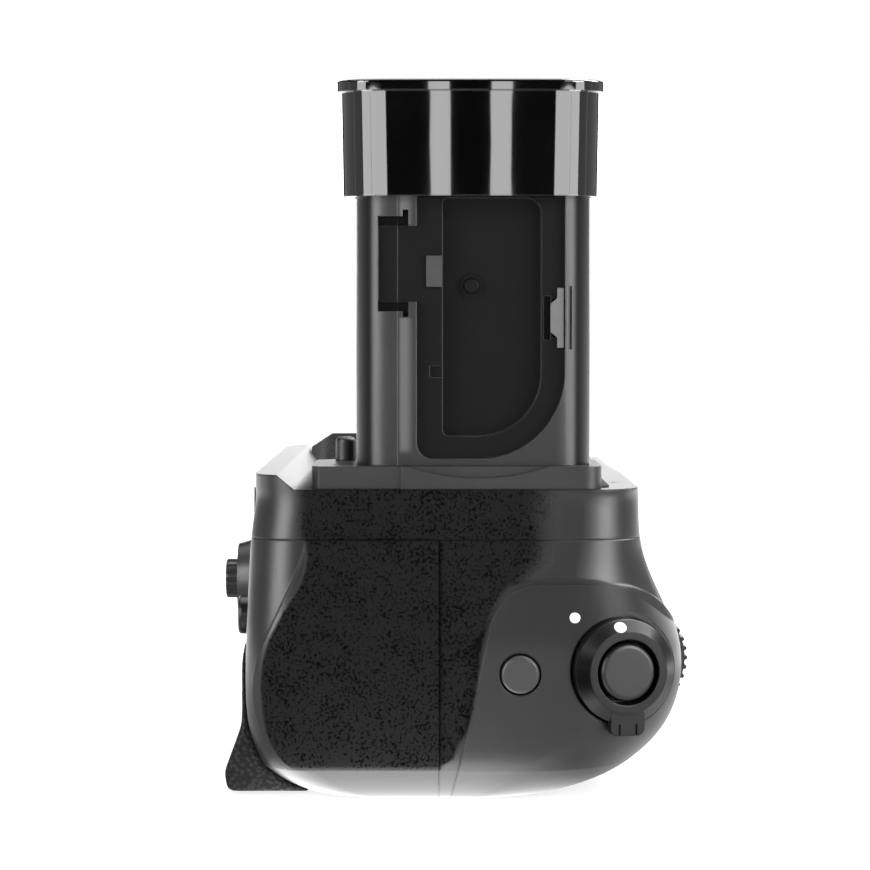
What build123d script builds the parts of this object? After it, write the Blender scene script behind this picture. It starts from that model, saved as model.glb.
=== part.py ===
from build123d import *
import math
import os

# Vertical battery grip for a mirrorless camera, in millimetres.
# X runs along the grip with the release end at +X, Y points to the camera's front, Z is up.
# The origin is the mouth of the tripod socket, in the flat base.

# Casing
body_height = 52.4
end_reach = 67.4
far_reach = 68.0
rear_reach = 32.3
nose_reach = 42.1
slim_reach = 34.6
rear_corner = 9.0
nose_corner = 18.0
nose_from_x = 2.0
slim_from_x = -24.0
blend_radius = 22.0
wall = 1.8
top_plate = 2.0
seam_z = 43.9
seam_y = 0.7
pad_rise = 0.6
overrun = 1.0
play = 0.3
running_play = 0.05
seat_gap = 0.02

# Rear lip and far-end rib
lip_rise = 2.4
lip_flat = 3.9
lip_slope = 3.1
rib_rise = 4.8
rib_ramp = 13.0
rib_length = 18.0
rib_rear_y = -25.6
rib_front_y = 30.0
liner_thick = 0.3
liner_rear_y = -21.5
liner_front_y = 30.0
liner_end_x = 54.5
liner_far_x = -46.0

# Stalk, shaped like the camera's own pack
stalk_near_x = 57.0
stalk_thick = 20.5
stalk_y = 6.55
stalk_width = 40.2
stalk_top = 117.0
stalk_corner = 6.0
stalk_skin = 1.6
flange_thick = 3.9
flange_near_x = 60.0
flange_far_x = 33.0
flange_low_y = -21.0
flange_high_y = 28.4
flange_step_y = -5.7
flange_step = 0.6
flange_corner = 3.0
scoop_low_y = -4.6
scoop_high_y = 19.4
scoop_depth = 1.1
cover_seam_y = -6.4
recess_low_y = -3.15
recess_high_y = 22.2
recess_bottom = 57.4
recess_depth = 1.6
recess_arc = 14.8
recess_corner = 2.8
pocket_low_y = 1.28
pocket_high_y = 18.2
pocket_bottom = 61.3
pocket_top = 102.0
pocket_depth = 4.6
pocket_arc = 10.8
pocket_corner = 1.0
window_y = -9.7
window_bottom = 84.2
window_top = 97.2
window_slot = 1.6
window_slot_y = -4.5
key_low_y = -1.5
key_high_y = 1.15
key_bottom = 86.8
key_top = 92.1
notch_bottom = 71.3
notch_top = 73.3
pin_y = 6.3
pin_z = 87.0
pin_ring = 2.0
pin_dome = 1.4
clip_low_y = 19.7
clip_high_y = 22.0
clip_bottom = 76.4
clip_top = 86.6
clip_tab = 1.7
clip_slot_y = 18.6
clip_travel = 1.0
foot_thick = 1.5
post_radius = 1.8
post_height = 4.2
post_x = 37.0
post_y = -15.8

# Contact cap
cap_bottom = 102.2
cap_top = 121.9
cap_wall = 1.25
cap_draft = 0.3
cap_rim = 1.9
cap_rim_reach = 0.75
cap_side_extra = 0.2
cap_shift = 0.5
cap_bulge = 0.55
cap_corner = 8.0
cap_roof = 1.5

# Camera screw and attachment wheel
screw_radius = 3.175
screw_top = 57.6
screw_lead = 0.5
journal_radius = 3.6
foot_radius = 2.0
gear_module = 0.8
pinion_teeth = 16
wheel_teeth = 36
gear_thick = 4.8
wheel_x = 9.0
wheel_bore = 1.6
tooth_tip_share = 0.22
tooth_root_share = 0.52
addendum_share = 0.75
dedendum_share = 1.15

# Frame
deck_thick = 1.0
deck_end_x = 32.0
deck_rear_y = -28.0
deck_front_y = 30.5
upright_x = -7.2
upright_foot = 4.2
upright_half = 12.0
guide_gap = 0.5
guide_thick = 1.0
guide_far_x = -61.0
guide_lip = 2.0
boss_half = 2.6
boss_foot = 10.0
boss_far_x = -55.0
boss_middle_x = -14.0
boss_near_x = 25.5
boss_gap = 0.7

# Battery tray
pack_height = 40.0
pack_thick = 20.5
pack_length = 51.2
pack_play = 0.4
tray_bottom = 3.8
tray_floor = 1.0
tray_side = 1.2
tray_end = 1.0
tray_end_height = 12.0
tray_chamfer = 1.5
door_thick = 2.6
latch_room = 1.6
latch_z = 33.0
knob_radius = 6.5
knob_recess = 1.6
knob_bar = 2.2
cam_length = 13.2
cam_width = 3.4
cam_thick = 1.0
latch_shaft = 1.6

# Contacts
block_low_z = 18.0
block_high_z = 30.0
block_low_y = -16.0
block_high_y = 17.4
blade_width = 1.6
blade_reach = 1.0
blade_pitch = 5.0
terminal_low_y = -8.0
terminal_high_y = 12.0
terminal_depth = 6.0
terminal_height = 3.0
terminal_pitch = 4.0
terminal_count = 5

# Base
base_length = 44.0
base_width = 34.0
base_thick = 1.2
base_corner = 5.0
floor_pad = 2.6
bush_radius = 6.0
bush_flange = 7.2
bush_flange_thick = 1.4
bush_top = 9.0
socket_radius = 3.175
socket_depth = 6.5
base_screw_x = 18.0
base_screw_y = 13.0

# Screws
screw_shaft = 0.9
screw_head = 1.55
screw_head_thick = 1.0
driver_slot = 0.5

# Release button and its lock ring
release_x = 66.3
release_y = 31.8
release_z = 22.2
release_turn = 18.0
release_radius = 4.9
release_bore = 5.25
release_travel = 1.2
ring_radius = 8.8
ring_top_radius = 6.9
ring_bore = 5.55
ring_depth = 3.0
ring_skirt = 0.4
ring_rise = 2.0
ring_pocket = 9.15
ring_seat = 2.2
ring_boss = 11.0
collar_wall = 0.9
tab_reach = 10.7
tab_width = 6.0
tab_low = 0.1
tab_high = 1.7
tab_groove = 0.35

# Function button
fn_y = 14.3
fn_z = 21.8
fn_radius = 3.2
fn_travel = 0.8

# Rear button
af_x = 51.0
af_z = 30.3
af_radius = 3.35
af_travel = 0.8
af_rise = 1.6

# Button mechanism
button_flange = 1.0
flange_height = 0.9
boss_depth = 2.2
carrier_wall = 1.2
carrier_floor = 1.4
switch_size = 5.0
switch_height = 2.4

# Joystick
stick_x = 35.0
stick_z = 35.2
stick_pivot_y = -27.6
collar_radius = 7.0
collar_top_radius = 6.2
collar_bore = 4.7
collar_front_y = -34.9
nub_radius = 3.45
nub_front_y = -37.1
nub_depth = 2.6
nub_ribs = 16
stem_radius = 1.2
stem_front_y = -35.4
yoke_outer = 4.0
yoke_inner = 2.9
yoke_thick = 1.8
trunnion = 0.6
stick_box = 12.0
stick_box_depth = 8.5
ear = 1.4
stick_press = 0.5

# Dials
dial_width = 8.0
dial_radius = 9.3
dial_tooth = 0.45
dial_teeth = 36
dial_bore = 3.2
axle_radius = 1.5
front_dial_x = 43.5
front_dial_y = 34.2
front_dial_z = 22.4
rear_dial_x = 41.2
rear_dial_y = -24.1
rear_dial_z = 15.8
cheek_thick = 1.2
cheek_height = 9.0
web_thick = 1.6

# Rubber
thumb_low_x = 20.0
thumb_high_x = 57.5
thumb_top = 26.2
thumb_rise = 0.8
thumb_reach = 36.1
thumb_peak = 3.8
thumb_inner = -21.5
thumb_lift = 0.4
front_rubber_low_x = -14.0
front_rubber_high_x = 29.6
front_rubber_low_z = 9.0
front_rubber_high_z = 38.0

# Raised pads on the end face, as places in Y and Z
panel_top_y = -21.8
panel_bend_y = -23.0
panel_bend_z = 39.5
panel_point_y = -33.3
panel_point_z = 17.4
panel_foot_y = -25.8
panel_foot_z = 5.5
panel_bend_radius = 8.0
panel_point_radius = 18.0
panel_foot_radius = 3.0
pad_start_x = 30.0
nose_pad_foot_y = 2.5
nose_pad_head_y = 10.6
nose_pad_head_z = 36.6
nose_pad_front_y = 43.0
nose_pad_head_radius = 9.0
nose_pad_front_radius = 17.0

# Board
board_z = 38.0
board_thick = 1.2
board_low_x = 4.0
board_high_x = 28.0
board_low_y = -18.0
board_high_y = 20.0
standoff_radius = 1.9
board_inset = 3.2
chip_height = 1.2
chip_size = 6.0

# Shares of height, rear, nose, slim, end, far reach and nose corner, from the crease upwards
upper_shares = (
    (0.105, 0.904, 0.791, 0.882, 0.993, 0.997, 1.00),
    (0.191, 0.966, 0.905, 0.960, 1.000, 1.000, 1.00),
    (0.305, 0.997, 0.979, 0.994, 1.000, 1.000, 1.00),
    (0.420, 1.000, 1.000, 1.000, 0.999, 1.000, 1.00),
    (0.534, 0.997, 0.979, 1.000, 0.985, 1.000, 0.94),
    (0.649, 0.991, 0.922, 1.000, 0.958, 1.000, 0.83),
    (0.763, 0.985, 0.862, 1.000, 0.932, 1.000, 0.67),
    (0.878, 0.972, 0.836, 0.997, 0.911, 1.000, 0.55),
    (1.000, 0.957, 0.831, 0.988, 0.896, 1.000, 0.50),
)
# Inner faces of the walls, as shares of a reach and of the height, or of two reaches
inner_rear_shares = ((0.542, 0.034), (0.709, 0.063), (0.833, 0.126), (0.910, 0.267), (0.910, 0.962))
inner_slim_shares = (
    (0.434, 0.034), (0.699, 0.063), (0.838, 0.134), (0.942, 0.267), (0.942, 0.725), (0.902, 0.962),
)
inner_nose_shares = (
    (0.380, 0.034), (0.618, 0.069), (0.736, 0.126), (0.865, 0.221), (0.933, 0.324), (0.955, 0.420),
    (0.933, 0.534), (0.876, 0.649), (0.815, 0.754), (0.748, 0.840), (0.741, 0.962),
)
inner_end_shares = (
    (0.883, 0.034), (0.923, 0.057), (0.958, 0.105), (0.972, 0.191), (0.972, 0.420), (0.955, 0.534),
    (0.930, 0.649), (0.903, 0.763), (0.860, 0.878), (0.823, 0.962),
)
inner_far_rear_shares = ((0.974, 0.750), (0.934, 0.880), (0.860, 1.000))
inner_near_rear_shares = ((0.740, 1.000), (0.809, 0.910), (0.890, 0.836), (0.972, 0.650))
inner_near_nose_shares = ((0.972, 0.475), (0.890, 0.736), (0.786, 0.867), (0.697, 0.955), (0.600, 1.050))
inner_far_slim_shares = ((0.860, 1.000), (0.934, 0.888), (0.974, 0.775))
inner_low_corner_shares = ((1.000, 0.300), (1.000, 1.050), (0.640, 1.050))
inner_low_corner_top_share = 0.17
nose_room_x = 6.0
# The same columns below the crease
lower_shares = (
    (0.0000, 0.542, 0.380, 0.434, 0.898, 0.934, 0.60),
    (0.0115, 0.666, 0.523, 0.607, 0.918, 0.956, 0.75),
    (0.0460, 0.786, 0.665, 0.766, 0.953, 0.978, 0.90),
    (0.1050, 0.904, 0.791, 0.882, 0.993, 0.997, 1.00),
)


def box_between(low, high):
    """A box from its lowest to its highest corner."""
    size = [top - bottom for bottom, top in zip(low, high)]
    centre = [(top + bottom) / 2 for bottom, top in zip(low, high)]
    return Pos(*centre) * Box(*size)


def rod(start, direction, radius, length):
    """A cylinder that leaves start along direction."""
    upright = (Align.CENTER, Align.CENTER, Align.MIN)
    return Plane(origin=start, z_dir=direction) * Cylinder(radius, length, align=upright)


def cone_rod(start, direction, low_radius, high_radius, length):
    """A cone that leaves start along direction."""
    upright = (Align.CENTER, Align.CENTER, Align.MIN)
    return Plane(origin=start, z_dir=direction) * Cone(low_radius, high_radius, length, align=upright)


def moved_corners(corners, inset):
    """Corners of a closed counter-clockwise outline, each side moved inwards."""
    count = len(corners)
    result = []
    for index in range(count):
        before = Vector(*corners[index - 1])
        here = Vector(*corners[index])
        after = Vector(*corners[(index + 1) % count])
        side_in = (here - before).normalized()
        side_out = (after - here).normalized()
        normal_in = Vector(-side_in.Y, side_in.X)
        normal_out = Vector(-side_out.Y, side_out.X)
        bisector = (normal_in + normal_out) / (1 + normal_in.dot(normal_out))
        moved = here + bisector * inset
        result.append((moved.X, moved.Y))
    return result


def rounded_face(corners, radii, inset=0.0, level=0.0):
    """A closed face with a radius at each corner, its sides moved in by inset."""
    points = moved_corners(corners, inset)
    count = len(points)
    starts, middles, ends = [], [], []
    for index in range(count):
        before = Vector(*points[index - 1], level)
        here = Vector(*points[index], level)
        after = Vector(*points[(index + 1) % count], level)
        side_in = (here - before).normalized()
        side_out = (after - here).normalized()
        turn = side_in.X * side_out.Y - side_in.Y * side_out.X
        sign = 1 if turn > 0 else -1
        radius = max(radii[index] - sign * inset, 0.0) if radii[index] > 0 else 0.0
        half = side_in.get_angle(side_out) / 2
        reach = radius * math.tan(math.radians(half))
        start = here - side_in * reach
        centre = start + Vector(-side_in.Y, side_in.X) * (sign * radius)
        starts.append(start)
        ends.append(here + side_out * reach)
        middles.append(centre + (here - centre).normalized() * radius if radius > 0 else None)
    edges = []
    for index in range(count):
        if middles[index] is not None:
            edges.append(ThreePointArc(starts[index], middles[index], ends[index]))
        edges.append(Line(ends[index], starts[(index + 1) % count]))
    return make_face(Wire(edges))


def rectangle_corners(low_x, low_y, high_x, high_y):
    """Corners of an upright rectangle, counter-clockwise."""
    return [(low_x, low_y), (high_x, low_y), (high_x, high_y), (low_x, high_y)]


def slice_face(shares, inset=0.0, lift=0.0):
    """One level slice of the casing."""
    height, rear, nose, slim, end, far, corner = shares
    end_x = end * end_reach
    far_x = -far * far_reach
    rear_y = -rear * rear_reach
    nose_y = nose * nose_reach
    slim_y = slim * slim_reach
    corners = [
        (end_x, rear_y), (end_x, nose_y), (nose_from_x, nose_y),
        (slim_from_x, slim_y), (far_x, slim_y), (far_x, rear_y),
    ]
    radii = [rear_corner, corner * nose_corner, blend_radius, blend_radius, rear_corner, rear_corner]
    return rounded_face(corners, radii, inset, height * body_height + lift)


def casing(inset=0.0):
    """The casing's outer form, moved in by inset."""
    low_lift = max(inset, 0.0)
    lower = [slice_face(row, inset, low_lift) for row in lower_shares]
    upper = [slice_face(row, inset, low_lift if index == 0 else 0.0)
             for index, row in enumerate(upper_shares)]
    return loft(lower) + loft(upper)


envelope = casing()
raised = casing(-pad_rise)

# Levels and places that several pieces share
rear_top_y = -upper_shares[-1][1] * rear_reach
deck_z = seam_z
gear_low = deck_z + deck_thick + play
ceiling_z = body_height - top_plate
flange_top = body_height + flange_thick
stalk_low_y = stalk_y - stalk_width / 2
stalk_high_y = stalk_y + stalk_width / 2
stalk_far_x = stalk_near_x - stalk_thick
stalk_mid_x = stalk_near_x - stalk_thick / 2
recess_floor = stalk_near_x - recess_depth
pocket_floor = stalk_near_x - pocket_depth
centre_distance = gear_module * (pinion_teeth + wheel_teeth) / 2
wheel_y = -math.sqrt(centre_distance ** 2 - wheel_x ** 2)
wheel_tip = gear_module * (wheel_teeth / 2 + addendum_share)
mesh_angle = math.atan2(wheel_y, wheel_x)
bay_width = pack_thick + pack_play
tray_low_y = seam_y - bay_width - tray_side * 1.5
tray_high_y = seam_y + bay_width + tray_side * 1.5
door_inner_x = -far_reach + door_thick
bay_far_x = door_inner_x + latch_room + tray_end
bay_near_x = bay_far_x + pack_length + pack_play
tray_near_x = bay_near_x + tray_end
tray_top = tray_bottom + tray_floor + pack_height
door_low_y = tray_low_y - tray_end
door_high_y = tray_high_y + tray_end
door_low_z = tray_bottom - pack_play
door_high_z = tray_top + pack_play / 2
guide_z = tray_top + guide_gap
boss_rear_y = tray_low_y - boss_gap
boss_front_y = tray_high_y + boss_gap
screw_rear_y = boss_rear_y - screw_head / 2
screw_front_y = boss_front_y + screw_head / 2
block_x = tray_near_x + play
release_axis = (math.cos(math.radians(release_turn)), math.sin(math.radians(release_turn)), 0.0)
release_plane = Plane(
    origin=(release_x, release_y, release_z), x_dir=(0, 0, 1), z_dir=release_axis
)
fn_plane = Plane(
    origin=(end_reach + pad_rise - seat_gap, fn_y, fn_z), x_dir=(0, 0, 1), z_dir=(1, 0, 0)
)
af_plane = Plane(origin=(af_x, -rear_reach, af_z), x_dir=(0, 0, 1), z_dir=(0, -1, 0))
big = 2 * (far_reach + end_reach)


parts = {}


def store(name, shape):
    """Keep a finished piece under its node name."""
    parts[name] = shape


def local_rod(plane, low, high, radius):
    """A cylinder on a plane's normal, between two heights."""
    return plane * Pos(0, 0, (low + high) / 2) * Cylinder(radius, high - low)


def prism_yz(corners, radii, low_x, high_x):
    """An outline in Y and Z, extruded along X."""
    face = Plane.YZ * rounded_face(corners, radii)
    return Pos(low_x, 0, 0) * extrude(face, amount=high_x - low_x)


def section_room(front_reach, front_shares, low_x, high_x):
    """The hollow's section, extruded along the grip."""
    rear = [(-y * rear_reach, z * body_height) for y, z in reversed(inner_rear_shares)]
    front = [(y * front_reach, z * body_height) for y, z in front_shares]
    outline = rear + front
    return prism_yz(outline, [0] * len(outline), low_x, high_x)


def casing_room():
    """The hollow inside the casing, between flat inner faces."""
    room = section_room(slim_reach, inner_slim_shares, -far_reach + wall, nose_room_x + overrun)
    room += section_room(nose_reach, inner_nose_shares, nose_room_x, end_reach)
    low_z, high_z = inner_end_shares[0][1] * body_height, inner_end_shares[-1][1] * body_height
    side = [(-far_reach, low_z - overrun)]
    side += [(x * end_reach, z * body_height) for x, z in inner_end_shares]
    side += [(-far_reach, high_z)]
    room &= extrude(Plane.XZ * rounded_face(side, [0] * len(side)), amount=big, both=True)
    plan = [(-x * far_reach, -y * rear_reach) for x, y in inner_far_rear_shares]
    plan += [(x * end_reach, -y * rear_reach) for x, y in inner_near_rear_shares]
    plan += [(x * end_reach, y * nose_reach) for x, y in inner_near_nose_shares]
    plan += [(-x * far_reach, y * slim_reach) for x, y in inner_far_slim_shares]
    room &= prism_xy(plan, [0] * len(plan), -overrun, body_height)
    corner = [(x * end_reach, y * nose_reach) for x, y in inner_low_corner_shares]
    return room - prism_xy(corner, [0] * len(corner), -overrun, inner_low_corner_top_share * body_height)


def prism_xy(corners, radii, low_z, high_z):
    """An outline in X and Y, extruded upwards."""
    return Pos(0, 0, low_z) * extrude(rounded_face(corners, radii), amount=high_z - low_z)


def gear(teeth, phase):
    """A spur gear with tapered teeth, a tooth centred at phase."""
    pitch_radius = gear_module * teeth / 2
    tip = pitch_radius + gear_module * addendum_share
    root = pitch_radius - gear_module * dedendum_share
    step = 2 * math.pi / teeth
    points = []
    for tooth in range(teeth):
        middle = phase + tooth * step
        for radius, side in (
            (root, -tooth_root_share), (tip, -tooth_tip_share),
            (tip, tooth_tip_share), (root, tooth_root_share),
        ):
            angle = middle + side * step / 2
            points.append((radius * math.cos(angle), radius * math.sin(angle)))
    return extrude(make_face(Polyline(*points, close=True)), amount=gear_thick)


def screw(x, y, head_top, length):
    """A small cross-head screw, its head up."""
    body = rod((x, y, head_top - screw_head_thick), (0, 0, 1), screw_head, screw_head_thick)
    body += rod((x, y, head_top - screw_head_thick - length), (0, 0, 1), screw_shaft, length)
    reach = screw_head / 2
    for half_x, half_y in ((reach, driver_slot / 2), (driver_slot / 2, reach)):
        body -= box_between(
            (x - half_x, y - half_y, head_top - driver_slot), (x + half_x, y + half_y, head_top + overrun)
        )
    return body


def screw_hole(x, y, head_top, length):
    """What a screw needs cut away."""
    hole = rod((x, y, head_top - screw_head_thick), (0, 0, 1), screw_head + running_play, big)
    low = head_top - screw_head_thick - length - seat_gap
    return hole + rod((x, y, low), (0, 0, 1), screw_shaft + running_play, length + overrun)


room = casing_room()

# Screw places
plate_screw_places = (
    (post_x, liner_front_y + screw_head), (boss_middle_x, liner_front_y + screw_head),
    (boss_far_x + screw_head * 2, liner_front_y + screw_head),
)
flange_screw_places = (
    (stalk_near_x - screw_head * 2, (stalk_low_y + flange_low_y) / 2),
    (stalk_far_x - screw_head - running_play * 2, recess_high_y),
)
chassis_screw_places = tuple(
    (x, y) for x in (boss_far_x, boss_middle_x, boss_near_x) for y in (screw_rear_y, screw_front_y)
)
base_screw_places = tuple(
    (x, y) for x in (-base_screw_x, base_screw_x) for y in (-base_screw_y, base_screw_y)
)
board_screw_places = tuple(
    (x, y)
    for x in (board_low_x + board_inset, board_high_x - board_inset)
    for y in (board_low_y + board_inset, board_high_y - board_inset)
)
screw_length = 2.4
long_screw = 4.5


def panel_prism():
    """The rear half's raised panel, as an outline through the casing's end."""
    corners = [
        (seam_y, panel_foot_z), (seam_y, seam_z), (panel_top_y, seam_z), (panel_bend_y, panel_bend_z),
        (panel_point_y, panel_point_z), (panel_foot_y, panel_foot_z),
    ]
    radii = [0, 0, 0, panel_bend_radius, panel_point_radius, panel_foot_radius]
    return prism_yz(corners, radii, pad_start_x, big)


def nose_prism():
    """The front half's raised nose pad, as an outline through the casing's end."""
    corners = [
        (nose_pad_foot_y, -overrun), (nose_reach * 2, -overrun), (nose_reach * 2, release_z),
        (nose_pad_front_y, release_z), (nose_pad_front_y, nose_pad_head_z),
        (nose_pad_head_y, nose_pad_head_z),
    ]
    radii = [0, 0, 0, 0, nose_pad_front_radius * 0.8, nose_pad_head_radius]
    return prism_yz(corners, radii, pad_start_x, big)


def door_opening():
    """The opening in the far end that the tray's door fills."""
    return box_between(
        (-far_reach - overrun, door_low_y - play, door_low_z - play),
        (-far_reach + door_thick + wall, door_high_y + play, door_high_z + play),
    )


def wheel_slot():
    """The room that the attachment wheel needs through the rear wall."""
    return rod((wheel_x, wheel_y, gear_low - play), (0, 0, 1), wheel_tip + play * 2, gear_thick + play * 2)


def make_top_shell():
    """Upper casing: camera seat, rear lip, far-end rib."""
    upper = envelope & box_between((-big, -big, seam_z), (big, big, big))
    base = body_height
    lip_top = body_height + lip_rise
    lip_corners = [
        (rear_top_y, base), (rear_top_y + lip_flat + lip_slope, base),
        (rear_top_y + lip_flat, lip_top), (rear_top_y, lip_top),
    ]
    lip = prism_yz(lip_corners, [0, 0, 0, 0], -far_reach, end_reach)
    rib_top = body_height + rib_rise
    rib_start = -far_reach + rib_length
    rib_corners = [
        (-big, base), (rib_start, base), (rib_start - rib_ramp, rib_top), (-big, rib_top),
    ]
    rib_side = extrude(Plane.XZ * rounded_face(rib_corners, [0, 0, 0, 0]), amount=big, both=True)
    cap_corners = [
        (rib_rear_y, base), (rib_front_y, base), (rib_front_y, rib_top),
        (rib_rear_y + lip_flat, rib_top), (rib_rear_y, rib_top - lip_rise),
    ]
    rib = rib_side & prism_yz(cap_corners, [0, 0, 0, 0, 0], -big, big)
    crest = extrude(slice_face(upper_shares[-1], 0.0, 0.0), amount=rib_rise + overrun)
    shell = upper + ((lip + rib) & crest)
    shell -= room
    spigot = stalk_spigot_corners(play)
    shell -= prism_xy(spigot, [flange_corner] * 4, ceiling_z - overrun, body_height + overrun)
    shell -= rod((0, 0, ceiling_z - overrun), (0, 0, 1), journal_radius + running_play, big)
    for x, y in plate_screw_places:
        shell -= screw_hole(x, y, body_height, screw_length)
    for x, y in flange_screw_places:
        shell -= rod((x, y, ceiling_z - overrun), (0, 0, 1), screw_shaft + running_play, big)
    return shell - wheel_slot() - door_opening()


def stalk_spigot_corners(growth):
    """Outline of the stalk's foot where it passes through the top plate."""
    return rectangle_corners(
        stalk_far_x + stalk_skin - growth, stalk_low_y + stalk_skin - growth,
        stalk_near_x - stalk_skin + growth, stalk_high_y - stalk_skin + growth,
    )


def boss_block(x, rear):
    """A rib on the wall that carries the chassis."""
    low_y, high_y = (-big, boss_rear_y) if rear else (boss_front_y, big)
    return box_between((x - boss_half, low_y, boss_foot), (x + boss_half, high_y, seam_z))


def rails():
    """Two low rails under the battery tray."""
    low_x, high_x = bay_far_x, bay_near_x
    shape = None
    for middle in (seam_y - bay_width / 2, seam_y + bay_width / 2):
        rail = box_between(
            (low_x, middle - tray_side, wall / 2), (high_x, middle + tray_side, tray_bottom - play)
        )
        shape = rail if shape is None else shape + rail
    return shape


def base_recess():
    """What the base plate and the bush need cut from the floor."""
    corners = rectangle_corners(
        -base_length / 2 - running_play, -base_width / 2 - running_play,
        base_length / 2 + running_play, base_width / 2 + running_play,
    )
    recess = prism_xy(corners, [base_corner] * 4, -overrun, base_thick + seat_gap)
    recess += rod((0, 0, -overrun), (0, 0, 1), bush_radius + running_play, floor_pad + overrun * 2)
    for x, y in base_screw_places:
        recess += rod((x, y, 0), (0, 0, 1), screw_shaft + running_play, floor_pad + overrun)
    return recess


def floor_block():
    """The thicker floor above the base plate."""
    reach_x, reach_y = base_length / 2 + wall, base_width / 2 + wall
    return box_between((-reach_x, -reach_y, wall / 2), (reach_x, reach_y, floor_pad))


def lower_shell(rear, pad, extras, cuts):
    """One lower casing, from its half of the envelope."""
    low_y, high_y = (-big, seam_y) if rear else (seam_y, big)
    half = box_between((-big, low_y, -overrun), (big, high_y, seam_z))
    outer = (envelope + (raised & pad)) & half
    shell = outer - room
    inner = rails() + floor_block()
    for x in (boss_far_x, boss_middle_x, boss_near_x):
        inner += boss_block(x, rear)
    for extra in extras:
        inner += extra
    shell += inner & (envelope & half)
    places = [(x, y) for x, y in chassis_screw_places if (y < seam_y) == rear]
    for x, y in places:
        low = seam_z - long_screw
        shell -= rod((x, y, low), (0, 0, 1), screw_shaft + running_play, long_screw + overrun)
    for cut in cuts:
        shell -= cut
    return shell - base_recess() - door_opening()


def button_floor(depth):
    """Height of the shell's inner boss face below the button's plane."""
    return -depth


def button_piece(plane, radius, rise, floor):
    """A button cap with its stem and the flange that keeps it in."""
    cap = local_rod(plane, floor - seat_gap - flange_height, rise, radius)
    top = cap.faces().sort_by(lambda face: (face.center() - plane.origin).dot(plane.z_dir))[-1]
    cap = fillet(top.edges(), radius / 6)
    flange = local_rod(plane, floor - seat_gap - flange_height, floor - seat_gap, radius + button_flange)
    return cap + flange


def button_carrier(plane, radius, travel, floor):
    """A cup under the button that holds its switch."""
    inner = radius + button_flange + play
    depth = flange_height + travel + play + switch_height
    cup = local_rod(plane, floor - depth - carrier_floor, floor, inner + carrier_wall)
    return cup - local_rod(plane, floor - depth, floor + overrun, inner)


def button_switch(plane, travel, floor):
    """A small push switch on the carrier's floor."""
    low = floor - flange_height - travel - play - switch_height
    body_height_here = switch_height * 0.7
    body = plane * Pos(0, 0, low + body_height_here / 2) * Box(switch_size, switch_size, body_height_here)
    return body + local_rod(plane, low, low + switch_height, switch_size / 4)


release_floor = button_floor(ring_depth + ring_seat)
fn_floor = button_floor(wall + pad_rise + boss_depth)
af_floor = button_floor(wall + boss_depth)


def release_seat():
    """Boss inside and collar outside that carry the lock ring."""
    seat = local_rod(release_plane, release_floor, -overrun, ring_boss) & envelope
    collar_top = ring_skirt * 2 - ring_depth
    return seat + local_rod(release_plane, release_floor, collar_top, ring_pocket + collar_wall)


def release_cuts():
    """The ring's pocket and the button's bore."""
    pocket = local_rod(release_plane, -ring_depth, big / 4, ring_pocket)
    return pocket + local_rod(release_plane, release_floor - overrun * 8, overrun, release_bore)


def make_lock_ring():
    """A bevelled ring with a lever tab and its grip grooves."""
    low = -ring_depth + running_play
    ring = local_rod(release_plane, low, ring_skirt, ring_radius)
    upright = (Align.CENTER, Align.CENTER, Align.MIN)
    bevel = Cone(ring_radius, ring_top_radius, ring_rise - ring_skirt, align=upright)
    ring += release_plane * Pos(0, 0, ring_skirt) * bevel
    tab = box_between((-tab_reach, -tab_width / 2, tab_low), (-ring_top_radius, tab_width / 2, tab_high))
    tab = fillet(tab.edges().filter_by(Axis.Z).group_by(Axis.X)[0], tab_width / 5)
    ring += release_plane * tab
    for side in (-1, 1):
        middle = side * tab_width / 4
        slot = box_between(
            (-tab_reach - overrun, middle - tab_groove / 2, tab_high - tab_groove),
            (-ring_radius, middle + tab_groove / 2, tab_high + overrun),
        )
        ring -= release_plane * slot
    return ring - local_rod(release_plane, low - overrun, ring_rise + overrun, ring_bore)


def round_boss(plane, radius, floor):
    """The thicker seat inside the shell round a button's bore."""
    return local_rod(plane, floor, -overrun, radius + boss_depth) & envelope


def button_bore(plane, radius, floor):
    """A plain bore for a button."""
    return local_rod(plane, floor - overrun, overrun * 4, radius + play)


def dial_slot(x, y, z, open_low_y, open_high_y):
    """The slot in a wall that a dial's rim passes."""
    half = dial_width / 2 + play
    rim = rod((x - half, y, z), (1, 0, 0), dial_radius + dial_tooth + play, half * 2)
    return rim & box_between((x - half, open_low_y, z - big), (x + half, open_high_y, z + big))


def make_front_shell():
    """Lower casing on the finger side, with the nose."""
    cuts = [
        release_cuts(), button_bore(fn_plane, fn_radius, fn_floor),
        carrier_room(release_plane, release_radius, release_floor),
        dial_slot(front_dial_x, front_dial_y, front_dial_z, slim_reach, big),
    ]
    shell = lower_shell(False, nose_prism(), [round_boss(fn_plane, fn_radius, fn_floor)], [])
    shell += release_seat()
    for cut in cuts:
        shell -= cut
    return shell


def carrier_room(plane, radius, floor):
    """Room for a button's carrier behind its seat."""
    reach = radius + button_flange + play + carrier_wall
    return local_rod(plane, floor - reach * 2, floor, reach + running_play)


def make_rear_shell():
    """Lower casing on the thumb side."""
    extras = [round_boss(af_plane, af_radius, af_floor)]
    cuts = [
        button_bore(af_plane, af_radius, af_floor), carrier_room(af_plane, af_radius, af_floor),
        rod((stick_x, -big, stick_z), (0, 1, 0), collar_bore, big + stick_pivot_y),
        dial_slot(rear_dial_x, rear_dial_y, rear_dial_z, -big, -rear_reach + wall * 3),
    ]
    return lower_shell(True, panel_prism(), extras, cuts)


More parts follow.
